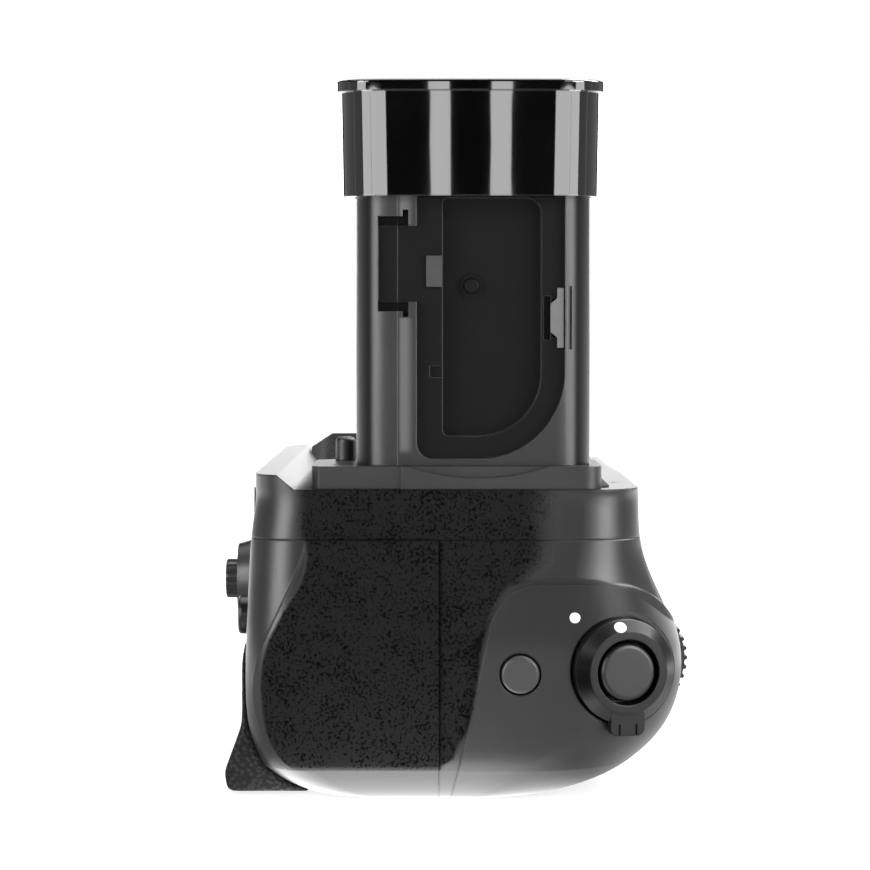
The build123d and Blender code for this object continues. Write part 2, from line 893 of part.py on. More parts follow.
def make_top_liner():
    """Thin liner on the camera seat, cut round the flange and the screw."""
    corners = rectangle_corners(liner_far_x, liner_rear_y, liner_end_x, liner_front_y)
    liner = prism_xy(corners, [flange_corner] * 4, body_height, body_height + liner_thick)
    notch = rectangle_corners(
        flange_far_x - play, flange_low_y - overrun, flange_near_x + big, flange_high_y + play
    )
    liner -= prism_xy(notch, [0] * 4, body_height - overrun, body_height + overrun)
    return liner - rod((0, 0, body_height - overrun), (0, 0, 1), journal_radius * 2, overrun * 2)


def make_stalk_base():
    """Flange that fills the camera's battery door opening, with its foot."""
    corners = rectangle_corners(flange_far_x, flange_low_y, flange_near_x, flange_high_y)
    base = prism_xy(corners, [flange_corner] * 4, body_height, flange_top)
    base -= box_between(
        (flange_near_x - flange_step, flange_low_y - overrun, body_height - overrun),
        (flange_near_x + overrun, flange_step_y, flange_top + overrun),
    )
    half = (scoop_high_y - scoop_low_y) / 2
    sagitta = flange_thick / 2
    arc = (half ** 2 + sagitta ** 2) / (2 * sagitta)
    middle = (scoop_low_y + scoop_high_y) / 2
    base -= rod(
        (flange_near_x - scoop_depth, middle, flange_top - sagitta + arc), (1, 0, 0), arc, scoop_depth * 2
    )
    base += prism_xy(stalk_spigot_corners(0), [flange_corner] * 4, ceiling_z, body_height)
    base -= rod((stalk_mid_x, stalk_y, ceiling_z - overrun), (0, 0, 1), foot_radius * 2, big)
    for x, y in flange_screw_places:
        base -= screw_hole(x, y, flange_top, flange_thick)
    return base


def make_locating_post():
    """Round-topped post on the flange."""
    post = rod((post_x, post_y, flange_top), (0, 0, 1), post_radius, post_height)
    return fillet(post.edges().group_by(Axis.Z)[-1], post_radius / 2)


def recess_outline(low_y, high_y, bottom, top, arc, corner, top_corner):
    """The D-shaped outline of the door recess, in Y and Z."""
    corners = rectangle_corners(low_y, bottom, high_y, top)
    return corners, [corner, arc, top_corner, corner]


def stalk_block():
    """The stalk's outer form less its hollow and its recesses."""
    corners = rectangle_corners(stalk_far_x, stalk_low_y, stalk_near_x, stalk_high_y)
    block = prism_xy(corners, [stalk_corner] * 4, flange_top, stalk_top)
    hollow = rectangle_corners(
        stalk_far_x + stalk_skin, stalk_low_y + stalk_skin,
        pocket_floor - stalk_skin, stalk_high_y - stalk_skin,
    )
    roof = stalk_top - terminal_height - stalk_skin
    block -= prism_xy(hollow, [stalk_corner - stalk_skin] * 4, flange_top - overrun, roof)
    recess_top = cap_bottom + stalk_corner
    corners, radii = recess_outline(
        recess_low_y, recess_high_y, recess_bottom, recess_top, recess_arc, recess_corner, recess_corner
    )
    block -= prism_yz(corners, radii, recess_floor, stalk_near_x + overrun)
    corners, radii = recess_outline(
        pocket_low_y, pocket_high_y, pocket_bottom, pocket_top, pocket_arc, pocket_corner, recess_corner
    )
    block -= prism_yz(corners, radii, pocket_floor, stalk_near_x + overrun)
    block -= box_between(
        (recess_floor, window_y, window_bottom), (stalk_near_x + overrun, recess_low_y + overrun, window_top)
    )
    slots = (
        (window_top, window_top + window_slot, window_slot_y),
        (window_bottom - window_slot, window_bottom, window_slot_y),
        (window_top, window_top + window_slot * 1.7, window_slot_y - overrun),
        (window_bottom - window_slot * 1.6, window_bottom, window_slot_y - overrun),
    )
    for index, (low_z, high_z, high_y) in enumerate(slots):
        low_y = window_y - seat_gap if index < 2 else high_y
        top_y = high_y if index < 2 else high_y + overrun
        block -= box_between(
            (pocket_floor + wall / 2, low_y, low_z), (stalk_near_x + overrun, top_y, high_z)
        )
    block -= box_between(
        (recess_floor - wall / 2, key_low_y + pad_rise, notch_bottom),
        (recess_floor + overrun, pocket_low_y + overrun, notch_top),
    )
    terminal = terminal_corners(running_play)
    return block - prism_xy(terminal, [0] * 4, stalk_top - terminal_height, stalk_top + overrun)


def terminal_corners(growth):
    """Outline of the terminal block in the stalk's top."""
    half = terminal_depth / 2 + growth
    return rectangle_corners(
        stalk_mid_x - half, terminal_low_y - growth, stalk_mid_x + half, terminal_high_y + growth
    )


def clip_corners(growth):
    """The clip's eight-sided outline, in Y and Z."""
    low_y, high_y = clip_low_y - growth, clip_high_y + growth
    low_z, high_z = clip_bottom - growth, clip_top + growth
    tab_y = high_y - (clip_high_y - clip_low_y) / 2 - growth / 2
    return [
        (tab_y, low_z), (high_y, low_z), (high_y, high_z), (tab_y, high_z),
        (tab_y, high_z - clip_tab), (low_y, high_z - clip_tab * 1.6),
        (low_y, low_z + clip_tab * 1.6), (tab_y, low_z + clip_tab),
    ]


def clip_cuts():
    """The clip's mortise in the recess wall, its tongue slot and the dark slot beside it."""
    clip_thick = recess_depth - pad_rise
    mortise = box_between(
        (recess_floor, recess_high_y - overrun, clip_bottom - play),
        (recess_floor + clip_thick + running_play * 2, clip_high_y + clip_travel + play, clip_top + play),
    )
    tongue_low, tongue_high = clip_low_y + play * 2, clip_high_y - pad_rise
    slot = box_between(
        (pocket_floor + wall / 2, tongue_low - play, clip_bottom + clip_tab),
        (recess_floor + overrun, tongue_high + clip_travel + play, clip_top - clip_tab),
    )
    dark = box_between(
        (pocket_floor + wall / 2, clip_slot_y, clip_bottom + clip_tab * 0.8),
        (recess_floor + overrun, clip_low_y, clip_top - clip_tab * 0.8),
    )
    return mortise + slot + dark


def make_door_clip():
    """Sprung clip that holds a stowed battery door."""
    clip_thick = recess_depth - pad_rise
    clip = prism_yz(clip_corners(0), [0] * 8, recess_floor + running_play, recess_floor + clip_thick)
    return clip + box_between(
        (pocket_floor + wall, clip_low_y + play * 2, clip_bottom + clip_tab * 2),
        (recess_floor + running_play, clip_high_y - pad_rise, clip_top - clip_tab * 2),
    )


def make_stalk():
    """The stalk's main case and its side cover, which meet at a seam."""
    block = stalk_block() - clip_cuts()
    cover_half = box_between((-big, -big, -big), (big, cover_seam_y, big))
    store("stalk_side_cover", block & cover_half)
    store("stalk_case", block - cover_half)
    key = box_between(
        (recess_floor, key_low_y, key_bottom), (recess_floor + recess_depth / 2, key_high_y, key_top)
    )
    store("key_tab", key)
    ring = rod((pocket_floor, pin_y, pin_z), (1, 0, 0), pin_ring, pad_rise)
    dome = rod((pocket_floor, pin_y, pin_z), (1, 0, 0), pin_dome, pad_rise * 2)
    dome = fillet(dome.edges().group_by(Axis.X)[-1], pad_rise * 0.8)
    store("stalk_pin", ring + dome)
    terminal = prism_xy(terminal_corners(0), [0] * 4, stalk_top - terminal_height, stalk_top)
    blades = None
    for index in range(terminal_count):
        y = (terminal_low_y + terminal_high_y) / 2 + (index - (terminal_count - 1) / 2) * terminal_pitch
        half = blade_width / 2
        terminal -= box_between(
            (stalk_mid_x - terminal_depth / 3, y - half, stalk_top - terminal_height * 0.8),
            (stalk_mid_x + terminal_depth / 3, y + half, stalk_top + overrun),
        )
        blade = box_between(
            (stalk_mid_x - terminal_depth / 4, y - half / 2, stalk_top - terminal_height * 0.8),
            (stalk_mid_x + terminal_depth / 4, y + half / 2, stalk_top - play),
        )
        blades = blade if blades is None else blades + blade
    store("terminal_block", terminal)
    store("terminal_blades", blades)


def cap_slice(level, reach_x, reach_y, inset=0.0):
    """One level of the cap: a rounded rectangle with slightly bowed faces."""
    corners = [
        (-reach_x, -reach_y), (0, -reach_y - cap_bulge / 3), (reach_x, -reach_y), (reach_x + cap_bulge, 0),
        (reach_x, reach_y), (0, reach_y + cap_bulge / 3), (-reach_x, reach_y), (-reach_x - cap_bulge, 0),
    ]
    bow_x = reach_y ** 2 / cap_bulge
    bow_y = reach_x ** 2 / cap_bulge
    radii = [cap_corner, bow_y, cap_corner, bow_x / 2, cap_corner, bow_y, cap_corner, bow_x / 2]
    return Pos(stalk_mid_x, stalk_y - cap_shift, 0) * rounded_face(corners, radii, inset, level)


def make_contact_cap():
    """Glossy cap over the stalk's contacts, with a wider rim on top."""
    reach_x = stalk_thick / 2 + play + cap_wall
    reach_y = stalk_width / 2 + play + cap_wall + cap_side_extra
    rim_z = cap_top - cap_rim
    body = loft([
        cap_slice(cap_bottom, reach_x, reach_y),
        cap_slice(rim_z, reach_x + cap_draft, reach_y + cap_draft),
    ])
    rim_reach = cap_rim_reach + cap_draft
    face = cap_slice(0.0, reach_x + rim_reach, reach_y + rim_reach)
    rim = Pos(0, 0, rim_z) * extrude(face, amount=cap_rim)
    rim = fillet(rim.edges().group_by(Axis.Z)[-1], cap_rim / 4)
    inner = rectangle_corners(
        stalk_far_x - play, stalk_low_y - play, stalk_near_x + play, stalk_high_y + play
    )
    hollow = prism_xy(inner, [stalk_corner + play] * 4, cap_bottom - overrun, cap_top - cap_roof)
    return body + rim - hollow


def make_stalk_bracket():
    """Plate under the top plate that the stalk's foot is screwed to."""
    corners = rectangle_corners(
        stalk_far_x - wall, stalk_low_y - wall, stalk_near_x - stalk_skin * 2, stalk_high_y
    )
    plate = prism_xy(corners, [flange_corner] * 4, ceiling_z - foot_thick, ceiling_z)
    passage = (stalk_mid_x, stalk_y, ceiling_z - foot_thick * 2)
    plate -= rod(passage, (0, 0, 1), foot_radius * 2, foot_thick * 3)
    return plate


def make_screw_drive():
    """Camera screw, its pinion, the attachment wheel and the wheel's axle."""
    foot_low = deck_z - overrun
    screw_body = rod((0, 0, foot_low), (0, 0, 1), foot_radius, gear_low - foot_low)
    seat_z = body_height + liner_thick
    screw_body += rod((0, 0, gear_low), (0, 0, 1), journal_radius, seat_z - gear_low)
    lead_z = screw_top - screw_lead
    screw_body += rod((0, 0, seat_z), (0, 0, 1), screw_radius, lead_z - seat_z)
    screw_body += cone_rod((0, 0, lead_z), (0, 0, 1), screw_radius, screw_radius - screw_lead, screw_lead)
    store("camera_screw", screw_body)
    pinion = Pos(0, 0, gear_low) * gear(pinion_teeth, mesh_angle)
    pinion -= rod((0, 0, gear_low - overrun), (0, 0, 1), journal_radius + seat_gap, gear_thick + overrun * 2)
    store("screw_pinion", pinion)
    phase = math.pi + mesh_angle + math.pi / wheel_teeth
    wheel = Pos(wheel_x, wheel_y, gear_low) * gear(wheel_teeth, phase)
    hollow_low = gear_low + gear_thick / 3
    wheel_rim = wheel_tip - gear_module * 4
    dish = rod((wheel_x, wheel_y, hollow_low), (0, 0, 1), wheel_rim, gear_thick)
    dish -= rod((wheel_x, wheel_y, hollow_low), (0, 0, 1), wheel_bore * 2.5, gear_thick)
    wheel -= dish
    wheel -= rod((wheel_x, wheel_y, gear_low - overrun), (0, 0, 1), wheel_bore + running_play, gear_thick * 2)
    store("attachment_wheel", wheel)
    axle = rod((wheel_x, wheel_y, deck_z), (0, 0, 1), wheel_bore, ceiling_z - deck_z)
    axle += rod((wheel_x, wheel_y, deck_z + deck_thick), (0, 0, 1), wheel_bore * 2, play - running_play)
    store("wheel_axle", axle)


def make_chassis():
    """Metal deck, contact wall, battery guide and board standoffs."""
    deck_top = deck_z + deck_thick
    frame = box_between((upright_x, deck_rear_y, deck_z), (deck_end_x, deck_front_y, deck_top))
    guide_top = guide_z + guide_thick
    wall_far_x = upright_x - deck_thick
    frame += box_between((wall_far_x, -upright_half, upright_foot), (upright_x, upright_half, guide_top))
    lip_rear_y, lip_front_y = boss_rear_y - guide_lip, boss_front_y + guide_lip
    frame += box_between((guide_far_x, lip_rear_y, guide_z), (upright_x, lip_front_y, guide_top))
    for low_y, high_y in ((lip_rear_y, boss_rear_y), (boss_front_y, lip_front_y)):
        frame += box_between((guide_far_x, low_y, seam_z), (upright_x, high_y, guide_z))
    for x, y in board_screw_places:
        standoff = deck_z - board_z - board_thick
        frame += rod((x, y, board_z + board_thick), (0, 0, 1), standoff_radius, standoff)
        frame -= rod((x, y, board_z), (0, 0, 1), screw_shaft + running_play, deck_z - board_z)
    frame -= rod((0, 0, deck_z - overrun), (0, 0, 1), foot_radius + running_play, deck_thick + overrun * 2)
    frame -= rod((wheel_x, wheel_y, deck_z - overrun), (0, 0, 1), wheel_bore, deck_thick + overrun)
    for x, y in chassis_screw_places:
        top = deck_top if x > upright_x else guide_top
        depth = top - deck_z + overrun * 2
        frame -= rod((x, y, deck_z - overrun), (0, 0, 1), screw_shaft + running_play, depth)
    clear = prism_xy(
        rectangle_corners(upright_x - deck_thick * 2, -big, upright_x, -upright_half), [0] * 4, deck_z, big
    )
    return frame - clear - wheel_clearance()


def wheel_clearance():
    """Room for the wheel and the pinion above the deck."""
    low = deck_z + deck_thick + play / 2
    clear = rod((wheel_x, wheel_y, low), (0, 0, 1), wheel_tip + play, gear_thick * 2)
    pinion_tip = gear_module * (pinion_teeth / 2 + addendum_share)
    return clear + (rod((0, 0, low), (0, 0, 1), pinion_tip, gear_thick) & box_between(
        (upright_x, -big, low), (big, big, big)))


def make_tray():
    """Battery tray with two bays, its door and the rotary latch."""
    block = box_between((door_inner_x, tray_low_y, tray_bottom), (tray_near_x, tray_high_y, tray_top))
    block = chamfer(block.edges().filter_by(Axis.X).group_by(Axis.Z)[0], tray_chamfer * 0.6)
    floor_z = tray_bottom + tray_floor
    for low_y in (seam_y + tray_side / 2, seam_y - tray_side / 2 - bay_width):
        block -= box_between((bay_far_x, low_y, floor_z), (bay_near_x, low_y + bay_width, tray_top + overrun))
        block -= box_between(
            (bay_near_x - overrun, low_y, floor_z + tray_end_height),
            (tray_near_x + overrun, low_y + bay_width, tray_top + overrun),
        )
    block -= box_between(
        (door_inner_x, tray_low_y + tray_side, floor_z), (bay_far_x - tray_end, tray_high_y - tray_side, big)
    )
    store("battery_tray", block)
    door = envelope & box_between(
        (-far_reach - overrun, door_low_y, door_low_z), (door_inner_x, door_high_y, door_high_z)
    )
    recess_x = -far_reach + knob_recess
    door -= rod((-far_reach - overrun, seam_y, latch_z), (1, 0, 0), knob_radius + play, knob_recess + overrun)
    door -= rod((-far_reach, seam_y, latch_z), (1, 0, 0), latch_shaft + running_play, big / 8)
    store("tray_door", door)
    knob_x = recess_x - running_play
    disc_thick = pad_rise
    knob = rod((knob_x - disc_thick, seam_y, latch_z), (1, 0, 0), knob_radius, disc_thick)
    bar = box_between(
        (-far_reach + play, seam_y - knob_radius * 0.85, latch_z - knob_bar / 2),
        (knob_x - disc_thick, seam_y + knob_radius * 0.85, latch_z + knob_bar / 2),
    )
    store("latch_knob", knob + bar)
    cam_x = door_inner_x + running_play
    shaft = rod((knob_x, seam_y, latch_z), (1, 0, 0), latch_shaft, cam_x + cam_thick - knob_x)
    cam = box_between(
        (cam_x, seam_y - latch_shaft * 1.6, latch_z - cam_width / 2),
        (cam_x + cam_thick, seam_y + cam_length, latch_z + cam_width / 2),
    )
    store("latch_cam", shaft + cam)


def make_contacts():
    """Contact block on the chassis wall, with its blades."""
    block = box_between(
        (block_x, block_low_y, block_low_z), (upright_x - deck_thick, block_high_y, block_high_z)
    )
    store("contact_block", block)
    blades = None
    for side in (-1, 1):
        middle = seam_y + side * (bay_width + tray_side) / 2
        for step in (-1, 0, 1):
            y = middle + step * blade_pitch
            blade = box_between(
                (block_x - blade_reach, y - blade_width / 2, block_low_z + blade_width),
                (block_x, y + blade_width / 2, block_high_z - blade_width),
            )
            blades = blade if blades is None else blades + blade
    store("contact_blades", blades)


def make_base():
    """Base plate with its screws and the tripod bush."""
    corners = rectangle_corners(-base_length / 2, -base_width / 2, base_length / 2, base_width / 2)
    plate = prism_xy(corners, [base_corner] * 4, 0.0, base_thick)
    plate -= rod((0, 0, -overrun), (0, 0, 1), bush_radius + seat_gap, base_thick * 3)
    screws = None
    for x, y in base_screw_places:
        turned = Rot(180, 0, 0) * screw(x, -y, 0.0, screw_length / 2)
        plate -= Rot(180, 0, 0) * screw_hole(x, -y, 0.0, screw_length / 2)
        screws = turned if screws is None else screws + turned
    store("base_plate", plate)
    store("base_screws", screws)
    bush = rod((0, 0, 0), (0, 0, 1), bush_radius, bush_top)
    bush += rod((0, 0, floor_pad + seat_gap), (0, 0, 1), bush_flange, bush_flange_thick)
    store("tripod_bush", bush - rod((0, 0, -overrun), (0, 0, 1), socket_radius, socket_depth + overrun))


def make_buttons():
    """Buttons with their carriers and switches, and the lock ring."""
    store("lock_ring", make_lock_ring())
    sets = (
        ("shutter_button", "shutter_carrier", "shutter_switch", release_plane, release_radius,
         ring_rise, release_travel, release_floor),
        ("fn_button", "fn_carrier", "fn_switch", fn_plane, fn_radius, pad_rise, fn_travel, fn_floor),
        ("af_button", "af_carrier", "af_switch", af_plane, af_radius, af_rise, af_travel, af_floor),
    )
    for cap, carrier, switch, plane, radius, rise, travel, floor in sets:
        store(cap, button_piece(plane, radius, rise, floor))
        store(carrier, button_carrier(plane, radius, travel, floor))
        store(switch, button_switch(plane, travel, floor))


def stick_rod(low_y, high_y, radius):
    """A cylinder on the joystick's own axis."""
    return rod((stick_x, low_y, stick_z), (0, 1, 0), radius, high_y - low_y)


def make_joystick():
    """Collar, ribbed cap, stem, yoke and base of the joystick."""
    face_y = -rear_reach
    collar = cone_rod(
        (stick_x, face_y, stick_z), (0, -1, 0), collar_radius, collar_top_radius, face_y - collar_front_y
    )
    store("joystick_collar", collar - stick_rod(collar_front_y - overrun, face_y + overrun, collar_bore))
    nub_back_y = nub_front_y + nub_depth
    nub = stick_rod(nub_front_y, nub_back_y, nub_radius)
    nub = fillet(nub.edges().group_by(Axis.Y)[0], nub_radius / 8)
    for index in range(nub_ribs):
        angle = 2 * math.pi * index / nub_ribs
        x = stick_x + nub_radius * math.cos(angle)
        z = stick_z + nub_radius * math.sin(angle)
        nub -= rod((x, nub_front_y - overrun, z), (0, 1, 0), play, nub_depth + overrun * 2)
    nub_foot = (stick_x, nub_front_y - nub_radius * 1.6, stick_z)
    nub -= rod(nub_foot, (0, 1, 0), nub_radius * 0.6, nub_radius * 1.6 + play)
    nub -= stick_rod(stem_front_y - stick_press - play / 3, nub_back_y + overrun, stem_radius + running_play)
    store("joystick_cap", nub)
    half = yoke_thick / 2
    yoke = stick_rod(stick_pivot_y - half, stick_pivot_y + half, yoke_outer)
    yoke -= stick_rod(stick_pivot_y - yoke_thick, stick_pivot_y + yoke_thick, yoke_inner)
    pin_reach = stick_box / 2 - running_play * 2
    pin_length = pin_reach - yoke_inner - play
    pins = rod((stick_x - pin_reach, stick_pivot_y, stick_z), (1, 0, 0), trunnion, pin_length)
    pins += rod((stick_x + yoke_inner + play, stick_pivot_y, stick_z), (1, 0, 0), trunnion, pin_length)
    yoke += pins
    hole = rod(
        (stick_x, stick_pivot_y, stick_z - yoke_outer - overrun), (0, 0, 1),
        trunnion + running_play, (yoke_outer + overrun) * 2,
    )
    store("joystick_yoke", yoke - hole)
    stem = stick_rod(stem_front_y, stick_pivot_y + half, stem_radius)
    stem += stick_rod(stick_pivot_y - half, stick_pivot_y + half, yoke_inner - play * 2)
    stem_pin_reach = yoke_outer - running_play
    stem += rod(
        (stick_x, stick_pivot_y, stick_z - stem_pin_reach), (0, 0, 1), trunnion, stem_pin_reach * 2
    )
    store("joystick_stem", stem)
    box_half = stick_box / 2
    low_y = -rear_reach * inner_rear_shares[-1][0] + seat_gap
    base = box_between(
        (stick_x - box_half, low_y, stick_z - box_half),
        (stick_x + box_half, low_y + stick_box_depth, stick_z + box_half),
    )
    inner = box_half - ear
    base -= box_between(
        (stick_x - inner, low_y - overrun, stick_z - inner),
        (stick_x + inner, low_y + stick_box_depth - ear, stick_z + inner),
    )
    base -= rod(
        (stick_x - box_half - overrun, stick_pivot_y, stick_z), (1, 0, 0),
        trunnion + running_play, stick_box + overrun * 2,
    )
    store("joystick_base", base)


def ribbed_dial(x, y, z):
    """A dial with round-bottomed grip grooves, its bore along X."""
    half = dial_width / 2
    outer = dial_radius + dial_tooth
    points = []
    step = 2 * math.pi / dial_teeth
    for tooth in range(dial_teeth):
        for radius, place in (
            (dial_radius, -tooth_root_share), (outer, -tooth_tip_share * 1.3),
            (outer, tooth_tip_share * 1.3), (dial_radius, tooth_root_share),
        ):
            angle = (tooth + place / 2) * step
            points.append((radius * math.cos(angle), radius * math.sin(angle)))
    face = Plane.YZ * make_face(Polyline(*points, close=True))
    dial = Pos(x - half, y, z) * extrude(face, amount=dial_width)
    inner = rod((x - half - overrun, y, z), (1, 0, 0), dial_radius - web_thick, web_thick + overrun)
    inner += rod((x + half - web_thick, y, z), (1, 0, 0), dial_radius - web_thick, web_thick + overrun)
    inner -= rod((x - half - overrun, y, z), (1, 0, 0), dial_bore, dial_width + overrun * 2)
    dial -= inner
    return dial - rod((x - half - overrun, y, z), (1, 0, 0), axle_radius + seat_gap, dial_width + overrun * 2)


def dial_bracket(x, y, z, web_side, reach_y):
    """Two cheeks joined by a web behind the dial."""
    half = dial_width / 2 + play
    web_near = y + web_side * (dial_radius + dial_tooth + play * 2)
    web_far = web_near + web_side * web_thick
    low_z, high_z = z - cheek_height / 2, z + cheek_height / 2
    bracket = None
    for low_x in (x - half - cheek_thick, x + half):
        low_y, high_y = min(web_far, reach_y), max(web_far, reach_y)
        cheek = box_between((low_x, low_y, low_z), (low_x + cheek_thick, high_y, high_z))
        bracket = cheek if bracket is None else bracket + cheek
    bracket += box_between(
        (x - half - cheek_thick, min(web_near, web_far), low_z),
        (x + half + cheek_thick, max(web_near, web_far), high_z),
    )
    hole = rod(
        (x - half - cheek_thick - overrun, y, z), (1, 0, 0),
        axle_radius + running_play, dial_width + cheek_thick * 4 + overrun,
    )
    return (bracket - hole) & room


def make_dials():
    """Both dials with their axles and brackets."""
    length = dial_width + (play + cheek_thick) * 2
    for name, x, y, z, web_side, reach_y in (
        ("front_dial", front_dial_x, front_dial_y, front_dial_z, -1, nose_reach),
        ("rear_dial", rear_dial_x, rear_dial_y, rear_dial_z, 1, -rear_reach),
    ):
        store(name, ribbed_dial(x, y, z))
        store(name + "_axle", rod((x - length / 2, y, z), (1, 0, 0), axle_radius, length))
        store(name + "_bracket", dial_bracket(x, y, z, web_side, reach_y))


def make_thumb_rubber():
    """Rubber thumb rest over the rear lower corner, cut round the dial."""
    corners = [
        (thumb_inner, thumb_lift), (thumb_inner, thumb_top), (-rear_reach - play, thumb_top),
        (-rear_reach - thumb_rise, thumb_top - thumb_peak),
        (-rear_reach - thumb_rise, rear_dial_z - thumb_peak),
        (-thumb_reach, thumb_peak), (-thumb_reach + thumb_lift, thumb_lift),
    ]
    radii = [0, 0, 0, thumb_peak, thumb_peak * 2, thumb_lift * 4, thumb_lift * 3]
    rest = prism_yz(corners, radii, thumb_low_x, thumb_high_x)
    rest -= envelope
    rest -= raised & panel_prism()
    slot = dial_slot(rear_dial_x, rear_dial_y, rear_dial_z, -big, -rear_reach + wall * 3)
    return keep_largest(rest - slot)


def keep_largest(shape):
    """The largest solid of a cut piece."""
    return shape.solids().sort_by(SortBy.VOLUME)[-1]


def make_front_rubber():
    """Rubber skin on the finger side."""
    low = box_between(
        (front_rubber_low_x, slim_reach * 0.8, front_rubber_low_z),
        (front_rubber_high_x, nose_reach * 2, front_rubber_high_z),
    )
    return (raised & low) - envelope


def make_board():
    """Main board under the deck, with its chips and screws."""
    board = box_between(
        (board_low_x, board_low_y, board_z), (board_high_x, board_high_y, board_z + board_thick)
    )
    screws = None
    for x, y in board_screw_places:
        board -= rod((x, y, board_z - overrun), (0, 0, 1), screw_shaft + running_play, board_thick * 3)
        turned = Rot(180, 0, 0) * screw(x, -y, -board_z + screw_head_thick, board_thick + screw_length)
        screws = turned if screws is None else screws + turned
    chips = None
    middle_x = (board_low_x + board_high_x) / 2
    for index in range(3):
        y = board_low_y + chip_size * (2 * index + 1.2)
        chip = box_between(
            (middle_x - chip_size / 2, y, board_z - chip_height),
            (middle_x + chip_size / 2, y + chip_size, board_z),
        )
        chips = chip if chips is None else chips + chip
    store("main_board", board)
    store("board_screws", screws)
    store("board_chips", chips)


def make_screws():
    """The screws that hold the casing, the flange and the chassis."""
    groups = (
        ("plate_screws", [(x, y, body_height, screw_length) for x, y in plate_screw_places]),
        ("flange_screws", [(x, y, flange_top, flange_thick) for x, y in flange_screw_places]),
        ("chassis_screws", [
            (x, y, (deck_z + deck_thick if x > upright_x else guide_z + guide_thick) + screw_head_thick,
             long_screw)
            for x, y in chassis_screw_places
        ]),
    )
    for name, places in groups:
        group = None
        for x, y, top, length in places:
            piece = screw(x, y, top, length)
            group = piece if group is None else group + piece
        store(name, group)


def make_all():
    """Every piece of the grip."""
    store("top_shell", make_top_shell())
    store("front_shell", make_front_shell())
    store("rear_shell", make_rear_shell())
    store("top_liner", make_top_liner())
    store("stalk_base", make_stalk_base())
    store("locating_post", make_locating_post())
    make_stalk()
    store("door_clip", make_door_clip())
    store("contact_cap", make_contact_cap())
    store("stalk_bracket", make_stalk_bracket())
    make_screw_drive()
    store("chassis", make_chassis())
    make_tray()
    make_contacts()
    make_base()
    make_buttons()
    make_joystick()
    make_dials()
    store("thumb_rubber", make_thumb_rubber())
    store("front_rubber", make_front_rubber())
    make_board()
    make_screws()


make_all()
os.makedirs("parts", exist_ok=True)
for name, shape in parts.items():
    export_step(shape, f"parts/{name}.step")
print(len(parts), "pieces")
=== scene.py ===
import bpy
import bmesh
import math
from mathutils import Vector, Matrix


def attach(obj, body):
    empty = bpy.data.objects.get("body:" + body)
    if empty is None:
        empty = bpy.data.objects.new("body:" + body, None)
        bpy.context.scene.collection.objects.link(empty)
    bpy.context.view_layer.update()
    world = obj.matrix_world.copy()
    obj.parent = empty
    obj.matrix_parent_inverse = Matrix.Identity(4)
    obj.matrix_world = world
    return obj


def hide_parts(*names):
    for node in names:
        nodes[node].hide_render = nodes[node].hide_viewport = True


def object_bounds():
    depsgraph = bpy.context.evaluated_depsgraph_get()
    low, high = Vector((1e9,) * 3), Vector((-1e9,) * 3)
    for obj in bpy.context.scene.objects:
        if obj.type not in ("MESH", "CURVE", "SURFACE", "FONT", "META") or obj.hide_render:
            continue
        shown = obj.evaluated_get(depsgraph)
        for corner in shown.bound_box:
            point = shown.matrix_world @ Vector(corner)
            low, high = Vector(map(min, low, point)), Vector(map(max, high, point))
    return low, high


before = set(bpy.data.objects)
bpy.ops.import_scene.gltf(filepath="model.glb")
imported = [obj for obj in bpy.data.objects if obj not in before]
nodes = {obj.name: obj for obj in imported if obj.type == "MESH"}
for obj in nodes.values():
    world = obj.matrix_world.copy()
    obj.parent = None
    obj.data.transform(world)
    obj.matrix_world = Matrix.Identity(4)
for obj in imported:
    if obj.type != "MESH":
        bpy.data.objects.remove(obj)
cad_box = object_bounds()
mm = 0.001

# Seams of the casing, in millimetres: between the two lower shells, and under the top shell.
seam_y = 0.7
seam_z = 43.9

# The photograph in pixels: the middle of its sides, and the length of its lens.
photo_middle = 435.0
photo_lens = 3000.0

black = (0.0, 0.0, 0.0, 1.0)
white = (1.0, 1.0, 1.0, 1.0)


def grey(level):
    """A neutral colour from its 0 to 255 display level."""
    share = level / 255.0
    linear = share / 12.92 if share <= 0.04045 else ((share + 0.055) / 1.055) ** 2.4
    return (linear, linear, linear * 1.02, 1.0)


